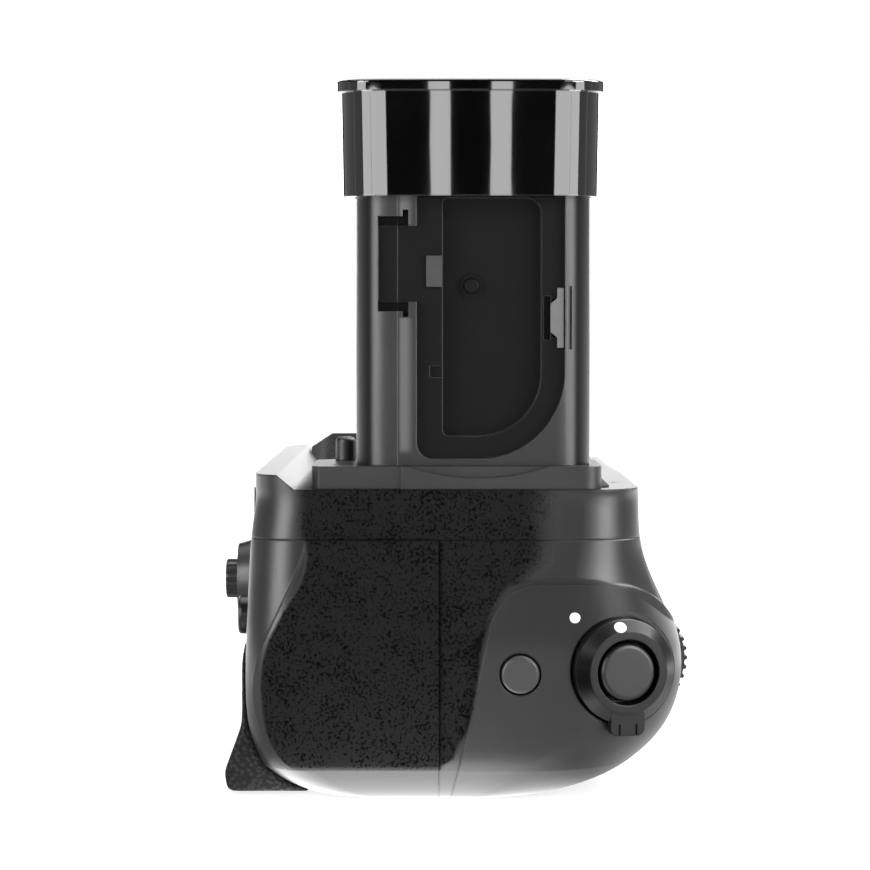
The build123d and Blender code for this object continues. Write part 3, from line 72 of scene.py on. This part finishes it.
class Paint:
    """One node material, built a step at a time. Sizes and depths are in millimetres."""

    def __init__(self, name, rough, metal=0.0, specular=0.5):
        self.material = bpy.data.materials.new(name)
        self.material.use_nodes = True
        self.tree = self.material.node_tree
        self.tree.nodes.clear()
        self.shader = self.new("BsdfPrincipled")
        self.link(self.shader.outputs["BSDF"], self.new("OutputMaterial").inputs["Surface"])
        self.fill(self.shader, {"Roughness": rough, "Metallic": metal, "Specular IOR Level": specular})
        self.coord = self.new("TexCoord").outputs["Object"]
        self.x, self.y, self.z = self.split(self.coord)

    def new(self, kind):
        return self.tree.nodes.new("ShaderNode" + kind)

    def link(self, out, into):
        self.tree.links.new(out, into)

    def fill(self, node, inputs):
        """Give each named input its value, or a link from another node's output."""
        for key, value in inputs.items():
            if hasattr(value, "is_linked"):
                self.link(value, node.inputs[key])
            else:
                node.inputs[key].default_value = value
        return node

    def set(self, name, value):
        self.fill(self.shader, {name: value})

    def split(self, vector):
        return self.fill(self.new("SeparateXYZ"), {0: vector}).outputs

    def math(self, kind, a, b=0.0):
        node = self.new("Math")
        node.operation = kind
        return self.fill(node, {0: a, 1: b}).outputs[0]

    def product(self, first, *others):
        for other in others:
            first = self.math("MULTIPLY", first, other)
        return first

    def rest(self, share):
        return self.math("SUBTRACT", 1.0, share)

    def vector(self, kind, *inputs):
        node = self.new("VectorMath")
        node.operation = kind
        self.fill(node, dict(enumerate(inputs)))
        return node.outputs["Value" if kind in ("DOT_PRODUCT", "LENGTH") else "Vector"]

    def noise(self, size, detail=2.0, rough=0.5, stretch=None):
        place = self.vector("MULTIPLY", self.coord, stretch) if stretch else self.coord
        return self.fill(self.new("TexNoise"), {
            "Scale": 1.0 / (size * mm), "Detail": detail, "Roughness": rough, "Vector": place,
        }).outputs["Fac"]

    def fine(self, size):
        """A fine grain of that size."""
        return self.noise(size, rough=0.6)

    def patches(self):
        """Broad, faint patches of tone."""
        return self.noise(9.0, 3.0, 0.55)

    def cells(self, size, feature, jitter):
        node = self.new("TexVoronoi")
        node.feature = feature
        self.fill(node, {"Scale": 1.0 / (size * mm), "Randomness": jitter, "Vector": self.coord})
        return node.outputs["Distance"]

    def ramp(self, value, low, high, start=0.0, stop=1.0, smooth=True):
        """From start to stop while the value goes from low to high, in the value's own unit."""
        node = self.new("MapRange")
        node.interpolation_type = "SMOOTHSTEP" if smooth else "LINEAR"
        self.fill(node, {"Value": value, "From Min": low, "From Max": high, "To Min": start, "To Max": stop})
        return node.outputs["Result"]

    def across(self, axis, low, high, start=0.0, stop=1.0):
        """The same between two places in millimetres."""
        return self.ramp(axis, low * mm, high * mm, start, stop)

    def near(self, axis, place, half, soft):
        """1 within half of a plane at that place, 0 from there on by a soft edge."""
        away = self.math("ABSOLUTE", self.math("SUBTRACT", axis, place * mm))
        return self.ramp(away, half * mm, (half + soft) * mm, 1.0, 0.0)

    def mix(self, share, first, second):
        node = self.new("Mix")
        node.data_type = "RGBA"
        self.fill(node, {"Factor": share, "A": first, "B": second})
        return node.outputs["Result"]

    def mottle(self, noise, first, second, low=0.35, high=0.65):
        """Two close tones in patches of a noise."""
        return self.mix(self.ramp(noise, low, high), first, second)

    def colour(self, value):
        self.set("Base Color", value)

    def rough(self, noise, smoothest, roughest, low=0.3, high=0.7):
        self.set("Roughness", self.ramp(noise, low, high, smoothest, roughest, False))

    def tint(self, value):
        """How much of the surface's mirror gleam is left, from 0 to 1."""
        self.set("Specular Tint", self.mix(value, black, white))

    def bevelled(self, radius):
        """The surface's normal, with its edges rounded by that radius."""
        node = self.new("Bevel")
        node.samples = 4
        return self.fill(node, {"Radius": radius * mm}).outputs["Normal"]

    def bump(self, *heights, edge=0.0):
        """Chained relief, each a (height, depth) pair, over softened edges."""
        normal = self.bevelled(edge) if edge else None
        for height, depth in heights:
            node = self.fill(self.new("Bump"), {"Strength": 1.0, "Distance": depth * mm, "Height": height})
            if normal is not None:
                self.link(normal, node.inputs["Normal"])
            normal = node.outputs["Normal"]
        self.set("Normal", normal)

    def rims(self, radius):
        """1 along the outer and inner edges of a piece, within that radius of them."""
        plain = self.new("NewGeometry").outputs["Normal"]
        return self.ramp(self.vector("DOT_PRODUCT", self.bevelled(radius), plain), 0.72, 0.97, 1.0, 0.0)

    def stand_up(self, share):
        """Shade that share of the surface as if it stood upright."""
        normal = self.shader.inputs["Normal"].links[0].from_socket
        keep = self.fill(self.new("CombineXYZ"), {"X": 1.0, "Y": 1.0, "Z": self.rest(share)})
        flat = self.vector("MULTIPLY", normal, keep.outputs[0])
        self.set("Normal", self.vector("NORMALIZE", flat))

    def drawn_line(self, value, reach, points):
        """A line drawn through (place, out) points in millimetres, out up to reach."""
        span = points[-1][0]
        edge = self.new("FloatCurve")
        line = edge.mapping.curves[0]
        line.points[0].location = (points[0][0] / span, points[0][1] / reach)
        line.points[1].location = (points[-1][0] / span, points[-1][1] / reach)
        for place, out in points[1:-1]:
            line.points.new(place / span, out / reach)
        edge.mapping.update()
        self.fill(edge, {"Value": self.math("DIVIDE", value, span * mm)})
        return self.math("MULTIPLY", edge.outputs["Value"], reach * mm)


# Lines drawn on the end face, as (place, reach) in millimetres: the rear panel's edge towards the rear by
# height, the nose pad's inner side in Y by height, and the height of the nose pad's top by Y.
rear_panel_edge = (
    (0.0, 19.2), (4.4, 22.0), (7.0, 26.0), (11.0, 28.5), (16.2, 29.5), (22.0, 29.6), (26.3, 28.7),
    (30.7, 26.6), (39.1, 22.3), (43.9, 22.3),
)
nose_pad_side = (
    (0.0, 1.0), (6.0, 1.0), (7.5, 2.9), (10.1, 4.3), (12.9, 5.8), (15.8, 6.5), (22.7, 7.5), (28.4, 8.4),
    (33.0, 10.1), (35.9, 12.1), (37.3, 15.2), (40.2, 18.0), (43.9, 19.0),
)
nose_pad_top = (
    (0.0, 20.0), (8.0, 29.0), (10.1, 33.0), (12.0, 36.0), (15.0, 37.2), (19.0, 37.7), (25.0, 37.6),
    (29.3, 36.9), (33.6, 35.0), (36.5, 33.0), (39.3, 30.7), (43.9, 27.0),
)


def above_bevel(paint):
    """1 above the bevel round the foot of the casing."""
    return paint.across(paint.z, 5.2, 6.6)


def rear_leather(paint):
    """Grain inside the rounded edge of the end panel, whose edge in Y is drawn by height."""
    reach = paint.drawn_line(paint.z, 32.0, rear_panel_edge)
    inside = paint.across(paint.math("ADD", paint.y, reach), 0.0, 0.8)
    return paint.product(inside, above_bevel(paint))


def front_leather(paint):
    """Grain from the middle seam to the nose pad, fading out more slowly above the pad."""
    inside = paint.math("SUBTRACT", paint.drawn_line(paint.z, 32.0, nose_pad_side), paint.y)
    width = paint.across(paint.z, 35.5, 38.0, 1.0 * mm, 4.5 * mm)
    share = paint.ramp(paint.math("DIVIDE", inside, width), -0.7, 0.7)
    return paint.product(share, above_bevel(paint))


def top_leather(paint):
    """Grain across the middle of the top band."""
    return paint.product(paint.across(paint.y, -24.5, -21.5), paint.across(paint.y, 15.0, 23.0, 1.0, 0.0))


def nose_pad(paint):
    """1 on the upper part of the nose pad, where its face stands upright."""
    top = paint.drawn_line(paint.y, 40.0, nose_pad_top)
    below = paint.across(paint.math("SUBTRACT", top, paint.z), -0.15, 0.25)
    return paint.product(below, paint.across(paint.z, 23.0, 29.0))


def shell_paint(name, leather_share, upright_seam=True, pad_share=None):
    """Casing plastic: pitted leather grain where leather_share says so, satin elsewhere."""
    paint = Paint(name, 0.4)
    leather = leather_share(paint)
    pad = pad_share(paint) if pad_share else None

    # Pits open where the blobs sink under a level, in looser and denser clumps.
    blobs = paint.fine(0.46)
    clumps = paint.noise(4.5, detail=1.0)
    clump_share, pit_rim, pit_bottom = 0.22, 0.465, 0.395
    level = paint.math("ADD", blobs, paint.product(paint.math("SUBTRACT", clumps, 0.5), clump_share))
    pits = paint.product(paint.ramp(level, pit_rim, pit_bottom), leather)
    fine = paint.fine(0.16)

    level_seam_depth = 0.6
    seam = paint.product(paint.near(paint.z, seam_z, 0.03, 0.09), level_seam_depth)
    if upright_seam:
        seam = paint.math("MAXIMUM", seam, paint.near(paint.y, seam_y, 0.08, 0.12))

    satin = paint.mottle(paint.noise(14.0), grey(21), grey(25))
    grain = paint.mottle(fine, grey(7), grey(14), 0.3, 0.7)
    body = paint.mix(pits, paint.mix(leather, satin, grain), grey(6))
    paint.colour(paint.mix(seam, body, grey(4)))

    leather_gleam, pit_dulling, pad_dulling = 0.22, 0.3, 0.28
    gleam = paint.ramp(leather, 0.0, 1.0, 1.0, leather_gleam, False)
    gleam = paint.math("SUBTRACT", gleam, paint.product(pits, pit_dulling))
    if pad is not None:
        gleam = paint.math("SUBTRACT", gleam, paint.product(pad, pad_dulling))
    paint.tint(gleam)
    satin_rough, leather_rough, pit_rough = 0.36, 0.7, 0.2
    matt = paint.ramp(leather, 0.0, 1.0, satin_rough, leather_rough, False)
    paint.set("Roughness", paint.math("ADD", matt, paint.product(pits, pit_rough)))

    paint.bump((paint.rest(seam), 0.25), (paint.rest(pits), 0.06), (fine, 0.008), edge=0.6)
    if pad is not None:
        paint.stand_up(pad)
    return paint.material


def plain_paint(name, low, high, rough, grain_size=0.25, grain=0.02, edge=0.25, specular=0.5, spread=0.1):
    """A moulded surface: two close tones, a fine grain and softened edges."""
    paint = Paint(name, rough, specular=specular)
    fine = paint.fine(grain_size)
    paint.colour(paint.mottle(paint.patches(), grey(low), grey(high)))
    paint.rough(fine, rough - spread / 2, rough + spread / 2)
    paint.bump((fine, grain), edge=edge)
    return paint.material


def ring_paint(name):
    """Satin whose gleam is painted shade and highlight set by the way each face points: full on the ring's
    upper slope, half below it, and hardly any on the slope towards the thumb side.
    """
    paint = Paint(name, 0.3, specular=0.6)
    fine = paint.fine(0.25)
    paint.colour(paint.mottle(paint.patches(), grey(9), grey(12)))
    paint.rough(fine, 0.28, 0.32)
    # Painted shade on the slope towards the thumb side, and a painted highlight on the upper slope, by the
    # face's direction.
    facing = paint.split(paint.new("NewGeometry").outputs["Normal"])
    thumb_side_shade = paint.ramp(facing["Y"], -0.36, -0.20, 0.05, 1.0)
    upper = paint.ramp(facing["Z"], 0.25, 0.60, 0.5, 1.0)
    paint.tint(paint.product(thumb_side_shade, upper))
    paint.bump((fine, 0.002), edge=0.35)
    return paint.material


def stalk_paint(name):
    """Satin outside; painted shade makes it darker and flatter down in the recess and the pocket."""
    paint = Paint(name, 0.36)
    fine = paint.fine(0.3)
    recess_x, face_x = 55.7, 56.4
    # Painted shade: the recess and the pocket are darker and gleam less.
    recess_shade = paint.across(paint.x, recess_x, face_x, 1.0, 0.0)
    outside = paint.rest(recess_shade)
    satin = paint.mottle(paint.patches(), grey(24), grey(28))
    body = paint.mix(recess_shade, satin, grey(12))

    # Painted highlight: a light strip up the side of the recess, above and below the notch, where a rounded
    # rail would gleam, and a dark line of painted shade beside it.
    strip = paint.product(paint.across(paint.y, -6.3, -5.7), paint.across(paint.y, -5.1, -3.5, 1.0, 0.0))
    low = paint.product(paint.across(paint.z, 81.3, 81.7, 1.0, 0.0), paint.across(paint.z, 58.0, 59.5))
    high = paint.across(paint.z, 92.9, 93.2)
    rail_highlight = paint.product(strip, paint.math("MAXIMUM", low, high), outside)
    line = paint.product(paint.near(paint.y, -6.45, 0.05, 0.09), outside)
    # The edges of the piece get a painted highlight too.
    for share, strength, tone in ((rail_highlight, 0.7, 88), (line, 0.75, 5), (paint.rims(0.2), 0.55, 104)):
        body = paint.mix(paint.product(share, strength), body, grey(tone))
    paint.colour(body)

    # Painted shade: the top face under the cap hardly gleams, and the recess gleams less.
    top_face_shade = paint.across(paint.z, 116.6, 117.2, 1.0, 0.15)
    paint.tint(paint.product(top_face_shade, paint.ramp(recess_shade, 0.0, 1.0, 1.0, 0.25, False)))
    paint.rough(fine, 0.32, 0.4)
    paint.bump((fine, 0.008), edge=0.25)
    return paint.material


def gloss_paint(name):
    """Polished black moulding under a clear coat."""
    paint = Paint(name, 0.07, specular=0.75)
    tone = paint.noise(12.0)
    paint.colour(paint.mottle(tone, grey(2), grey(4)))
    paint.rough(tone, 0.022, 0.03)
    paint.set("Coat Weight", 1.0)
    paint.set("Coat Roughness", 0.012)
    paint.bump(edge=0.3)
    return paint.material


def rubber_paint(name):
    """Close pebbled rubber."""
    paint = Paint(name, 0.62, specular=0.2)
    pebbles = paint.cells(0.75, "F1", 0.9)
    fine = paint.fine(0.2)
    # Painted shade: the hollows between the pebbles are darker than the pebble tops.
    paint.colour(paint.mottle(pebbles, grey(36), grey(14), 0.25, 0.62))
    paint.rough(pebbles, 0.55, 0.75, 0.2, 0.7)
    paint.bump((paint.ramp(pebbles, 0.15, 0.75, 1.0, 0.0), 0.12), (fine, 0.02), edge=0.4)
    return paint.material


def steel_paint(name, low, high, rough):
    """Turned and plated metal with fine rings of tool marks."""
    paint = Paint(name, rough, metal=1.0)
    marks = paint.noise(0.5, 3.0, 0.6, (1.0, 1.0, 6.0))
    paint.colour(paint.mottle(marks, grey(low), grey(high), 0.3, 0.7))
    paint.rough(marks, rough - 0.07, rough + 0.1, 0.25, 0.75)
    paint.bump((marks, 0.01), edge=0.15)
    return paint.material


def gold_paint(name):
    """Plated contact springs, a little worn."""
    paint = Paint(name, 0.28, metal=1.0)
    worn = paint.noise(0.8, 3.0, 0.6)
    paint.colour(paint.mottle(worn, (0.72, 0.50, 0.20, 1.0), (0.80, 0.60, 0.30, 1.0)))
    paint.rough(worn, 0.22, 0.38)
    paint.bump((worn, 0.01), edge=0.1)
    return paint.material


def board_paint(name):
    """Green solder mask over a grid of tracks."""
    paint = Paint(name, 0.35)
    tracks = paint.cells(1.9, "DISTANCE_TO_EDGE", 0.0)
    paint.colour(paint.mottle(tracks, (0.02, 0.13, 0.05, 1.0), (0.012, 0.075, 0.03, 1.0), 0.10, 0.14))
    paint.rough(tracks, 0.28, 0.42, 0.1, 0.14)
    paint.bump((paint.ramp(tracks, 0.10, 0.14), 0.03), edge=0.1)
    return paint.material


def dot_paint(name):
    """White printed ink."""
    paint = Paint(name, 0.55)
    ink = paint.noise(0.3)
    paint.colour(paint.mottle(ink, grey(250), grey(240), 0.3, 0.7))
    paint.bump((ink, 0.01))
    return paint.material


paints = {
    "shell_rear": shell_paint("shell_rear", rear_leather),
    "shell_front": shell_paint("shell_front", front_leather, pad_share=nose_pad),
    "shell_top": shell_paint("shell_top", top_leather, upright_seam=False),
    "base": plain_paint("stalk_base", 23, 28, 0.42, grain_size=0.22, grain=0.01, edge=0.3),
    "stalk": stalk_paint("stalk_satin"),
    "cap": gloss_paint("cap_gloss"),
    "button": plain_paint("button_gloss", 15, 18, 0.30, grain_size=0.3, grain=0.0006, edge=0.5, specular=0.48,
                          spread=0.05),
    "fn": plain_paint("fn_satin", 44, 50, 0.4, grain_size=0.2, grain=0.008, edge=0.3),
    "ring": ring_paint("ring_satin"),
    "control": plain_paint("control_satin", 26, 32, 0.4, grain=0.01, edge=0.2, specular=0.6),
    "moulding": plain_paint("moulding", 22, 28, 0.5, grain_size=0.3, edge=0.2),
    "pin": plain_paint("pin_satin", 8, 11, 0.5, grain=0.004, edge=0.1, specular=0.12),
    "clip": plain_paint("clip_grey", 84, 90, 0.5, grain_size=0.3, grain=0.01, edge=0.2),
    "tab": plain_paint("tab_grey", 40, 48, 0.5, grain_size=0.3, grain=0.01, edge=0.15),
    "frame": steel_paint("blasted_sheet", 150, 170, 0.42),
    "steel": steel_paint("plated_steel", 120, 150, 0.3),
    "dark_steel": steel_paint("black_steel", 40, 60, 0.35),
    "gold": gold_paint("gold_contact"),
    "board": board_paint("board_mask"),
    "rubber": rubber_paint("pebbled_rubber"),
    "liner": plain_paint("liner_felt", 24, 34, 0.85, grain_size=0.15, grain=0.05, edge=0.0),
    "dot": dot_paint("dot_ink"),
}

finishes = {
    "shell_rear": ["rear_shell", "tray_door"],
    "shell_front": ["front_shell"],
    "shell_top": ["top_shell"],
    "base": ["stalk_base", "base_plate", "locating_post"],
    "stalk": ["stalk_case", "stalk_side_cover"],
    "cap": ["contact_cap"],
    "button": ["shutter_button", "af_button"],
    "fn": ["fn_button"],
    "ring": ["lock_ring"],
    "control": [
        "joystick_collar", "joystick_cap", "front_dial", "rear_dial", "attachment_wheel", "latch_knob",
    ],
    "moulding": [
        "battery_tray", "shutter_carrier", "fn_carrier", "af_carrier", "shutter_switch", "fn_switch",
        "af_switch", "joystick_base", "joystick_yoke", "joystick_stem", "front_dial_bracket",
        "rear_dial_bracket", "contact_block", "terminal_block", "board_chips",
    ],
    "pin": ["stalk_pin"],
    "clip": ["door_clip"],
    "tab": ["key_tab"],
    "frame": ["chassis", "stalk_bracket"],
    "steel": [
        "camera_screw", "screw_pinion", "wheel_axle", "chassis_screws", "board_screws", "front_dial_axle",
        "rear_dial_axle", "latch_cam", "tripod_bush",
    ],
    "dark_steel": ["plate_screws", "flange_screws", "base_screws"],
    "gold": ["contact_blades", "terminal_blades"],
    "board": ["main_board"],
    "rubber": ["thumb_rubber", "front_rubber"],
    "liner": ["top_liner"],
}

for key, names in finishes.items():
    for name in names:
        thing = nodes[name]
        thing.data.materials.clear()
        thing.data.materials.append(paints[key])


def in_scene(name, data):
    """A new object in the scene."""
    thing = bpy.data.objects.new(name, data)
    bpy.context.scene.collection.objects.link(thing)
    return thing


def new_piece(name, mesh, paint):
    """A smooth-shaded piece with one finish."""
    thing = in_scene(name, mesh)
    thing.data.materials.append(paints[paint])
    for face in thing.data.polygons:
        face.use_smooth = True
    return thing


def moulded_skin(node, passes, voxel=0.45):
    """A rounded rubber moulding in the place of a plain solid, smoothed that many times."""
    block = in_scene(node + "_block", nodes[node].data.copy())
    remesh = block.modifiers.new("remesh", "REMESH")
    remesh.mode = "VOXEL"
    remesh.voxel_size = voxel * mm
    smooth = block.modifiers.new("smooth", "SMOOTH")
    smooth.factor = 0.5
    smooth.iterations = passes
    mesh = bpy.data.meshes.new_from_object(block.evaluated_get(bpy.context.evaluated_depsgraph_get()))
    mesh.name = node + "_skin"
    mesh.materials.clear()
    bpy.data.objects.remove(block)
    thing = new_piece(node + "_skin", mesh, "rubber")
    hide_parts(node)
    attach(thing, "grip_body")


moulded_skin("thumb_rubber", 22)
moulded_skin("front_rubber", 8)

# The camera stands half a metre in front of the end face and looks a little downwards.
camera_place = (0.568, 0.0, 0.081)
camera_pitch = 87.82
camera_data = bpy.data.cameras.new("camera")
camera_data.lens = 124.1
camera_data.sensor_width = 36.0
camera_data.clip_start = 0.01
camera = in_scene("camera", camera_data)
camera.location = camera_place
camera.rotation_euler = (math.radians(camera_pitch), 0.0, math.radians(90.0))
bpy.context.scene.camera = camera
bpy.context.scene.view_settings.view_transform = "Standard"


def surface_point(node, column, row):
    """The place and the normal where the camera's line through a pixel meets a node."""
    turn = camera.rotation_euler.to_matrix()
    across, up = (column - photo_middle) / photo_lens, (photo_middle - row) / photo_lens
    line = turn @ Vector((across, up, -1.0)).normalized()
    _, place, normal, _ = nodes[node].ray_cast(camera.location, line)
    return place / mm, normal


def dome_disc(name, middle, axis, radius):
    """A low printed disc with a rounded rim, standing on a surface."""
    height = 0.07
    profile = ((1.0, 0.0), (0.97, 0.6), (0.9, 0.9), (0.6, 1.0))
    around = 48
    shape = bmesh.new()
    rows = [[shape.verts.new((radius * share * math.cos(2 * math.pi * k / around),
                              radius * share * math.sin(2 * math.pi * k / around), height * level))
             for k in range(around)]
            for share, level in profile]
    for low, high in zip(rows, rows[1:]):
        for k in range(around):
            after = (k + 1) % around
            shape.faces.new((low[k], low[after], high[after], high[k]))
    shape.faces.new(rows[-1])
    shape.faces.new(rows[0][::-1])
    turn = Vector((0, 0, 1)).rotation_difference(Vector(axis).normalized()).to_matrix().to_4x4()
    place = Matrix.Translation(Vector(middle) * mm) @ turn @ Matrix.Scale(mm, 4)
    bmesh.ops.transform(shape, matrix=place, verts=shape.verts)
    mesh = bpy.data.meshes.new(name)
    shape.to_mesh(mesh)
    shape.free()
    return new_piece(name, mesh, "dot")


# The white index dots, placed by their pixels: one on the lock ring, one printed on the casing.
dot_sink = 0.02
for name, node, column, row, radius, body in (
    ("ring_dot", "lock_ring", 620.5, 627.5, 1.05, "lock_ring"),
    ("casing_dot", "front_shell", 575.0, 618.0, 0.9, "grip_body"),
):
    place, normal = surface_point(node, column, row)
    dot = dome_disc(name, place - normal * dot_sink, normal, radius)
    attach(dot, body)


def floor_paint():
    """Plain pale floor. Its own glow is even to the camera; to the grip it is painted light, a glow mirrored
    mostly close to the grip and a faint glow lighting it as bounced light.
    """
    paint = Paint("floor_white", 0.9, specular=0.0)
    paint.colour(paint.mix(paint.noise(300.0, 1.0), grey(160), grey(163)))
    away = paint.vector("LENGTH", paint.coord)
    seen = paint.ramp(away, 0.12, 0.40, 0.78, 1.0)
    # Painted light: glow that shows only in reflections, strongest close to the grip and beside it.
    close = paint.product(
        paint.ramp(away, 0.073, 0.11, 6.2, 0.0), paint.ramp(paint.y, 0.004, 0.030, 1.0, 0.10),
        paint.ramp(paint.y, -0.040, -0.025, 0.02, 1.0))
    beside = paint.product(paint.ramp(paint.x, 0.05, -0.03, 0.0, 2.2), paint.ramp(away, 0.12, 0.24))
    ray = paint.new("LightPath").outputs
    mirrored = paint.product(ray["Is Glossy Ray"], paint.math("ADD", close, beside))
    # Painted fill light: a faint glow that lights the grip as if bounced.
    bounced = paint.product(ray["Is Diffuse Ray"], 0.15)
    glow = paint.math("ADD", paint.product(ray["Is Camera Ray"], seen), paint.math("ADD", mirrored, bounced))
    paint.set("Emission Color", white)
    paint.set("Emission Strength", glow)
    return paint.material


floor_reach = 4
floor_gap = 0.00005
floor_mesh = bpy.data.meshes.new("floor")
floor_corners = [(x * floor_reach, y * floor_reach, 0) for x, y in ((-1, -1), (1, -1), (1, 1), (-1, 1))]
floor_mesh.from_pydata(floor_corners, [], [(0, 1, 2, 3)])
floor = in_scene("floor", floor_mesh)
floor.location.z = cad_box[0][2] - floor_gap
floor.data.materials.append(floor_paint())

# A world that is nearly dark to the grip and white to the camera.
world_light = 0.012
world_seen = 1.0
world = bpy.data.worlds.new("studio")
bpy.context.scene.world = world
world.use_nodes = True
tree = world.node_tree
tree.nodes.clear()
out = tree.nodes.new("ShaderNodeOutputWorld")
blend = tree.nodes.new("ShaderNodeMixShader")
path = tree.nodes.new("ShaderNodeLightPath")
tree.links.new(path.outputs["Is Camera Ray"], blend.inputs[0])
for side, strength in ((1, world_light), (2, world_seen)):
    backdrop = tree.nodes.new("ShaderNodeBackground")
    backdrop.inputs["Color"].default_value = white
    backdrop.inputs["Strength"].default_value = strength
    tree.links.new(backdrop.outputs[0], blend.inputs[side])
tree.links.new(blend.outputs[0], out.inputs["Surface"])


def soft_light(name, azimuth, height, distance, width, tall, level, aim):
    """A rectangular soft light of that brightness, azimuth measured from +X towards +Y."""
    data = bpy.data.lights.new(name, "AREA")
    data.shape = "RECTANGLE"
    data.size = width
    data.size_y = tall
    data.energy = level * math.pi * width * tall
    light = in_scene(name, data)
    light.visible_camera = False
    turn = math.radians(azimuth)
    light.location = (distance * math.cos(turn), distance * math.sin(turn), height)
    light.rotation_euler = (Vector(aim) - light.location).to_track_quat("-Z", "Y").to_euler()


# Where the lights aim, and how bright they are where their own line doesn't say.
bank_aim = (0.03, 0.0, 0.08)
strip_aim = (0.06, 0.006, 0.11)
bank_level = 4.3


def bank(name, azimuth, elevation, distance, width, tall, level=bank_level):
    """A soft light at that elevation above the middle of the grip."""
    rise = math.radians(elevation)
    soft_light(name, azimuth, bank_aim[2] + distance * math.sin(rise), distance * math.cos(rise), width, tall,
               level, bank_aim)


# Each light: azimuth and elevation in degrees, then distance, width and height in metres, and brightness.
bank("side_left", -49, -1.5, 0.80, 0.42, 0.075, 17.0)
bank("side_right", 51, -1.5, 0.80, 0.42, 0.075, 17.0)
bank("cap_left", -50.3, 5.2, 0.80, 0.30, 0.116)
bank("cap_right", 52.3, 5.2, 0.80, 0.30, 0.116)
bank("high_left", -47, 20, 0.80, 0.38, 0.26, 12.5)
bank("high_right", 49, 20, 0.80, 0.38, 0.26, 12.5)
bank("near_left", -22, 3.6, 0.95, 0.60, 0.10)
bank("near_right", 24, 3.6, 0.95, 0.60, 0.10)
bank("front_top", 32, 23, 0.90, 0.46, 0.26, 5.0)
for name, azimuth in (("strip_left", -1.1), ("strip_right", 3.0)):
    soft_light(name, azimuth, 0.15, 1.1, 0.026, 0.16, bank_level, strip_aim)
bank("ring_gleam", 118, 54, 0.80, 0.42, 0.70, 14.0)
bank("overhead", 180, 80, 0.8, 0.9, 0.7, 3.2)
bank("back_left", -112, 14, 0.9, 0.9, 0.56, 0.35)
bank("back_right", 112, 14, 0.9, 0.9, 0.56, 0.35)
bank("wing_left", -74, 7, 0.85, 0.40, 0.30, 0.35)
bank("wing_right", 75, 7, 0.85, 0.40, 0.30, 0.35)
bank("far", 180, 6.5, 0.95, 1.10, 0.20, 4.5)
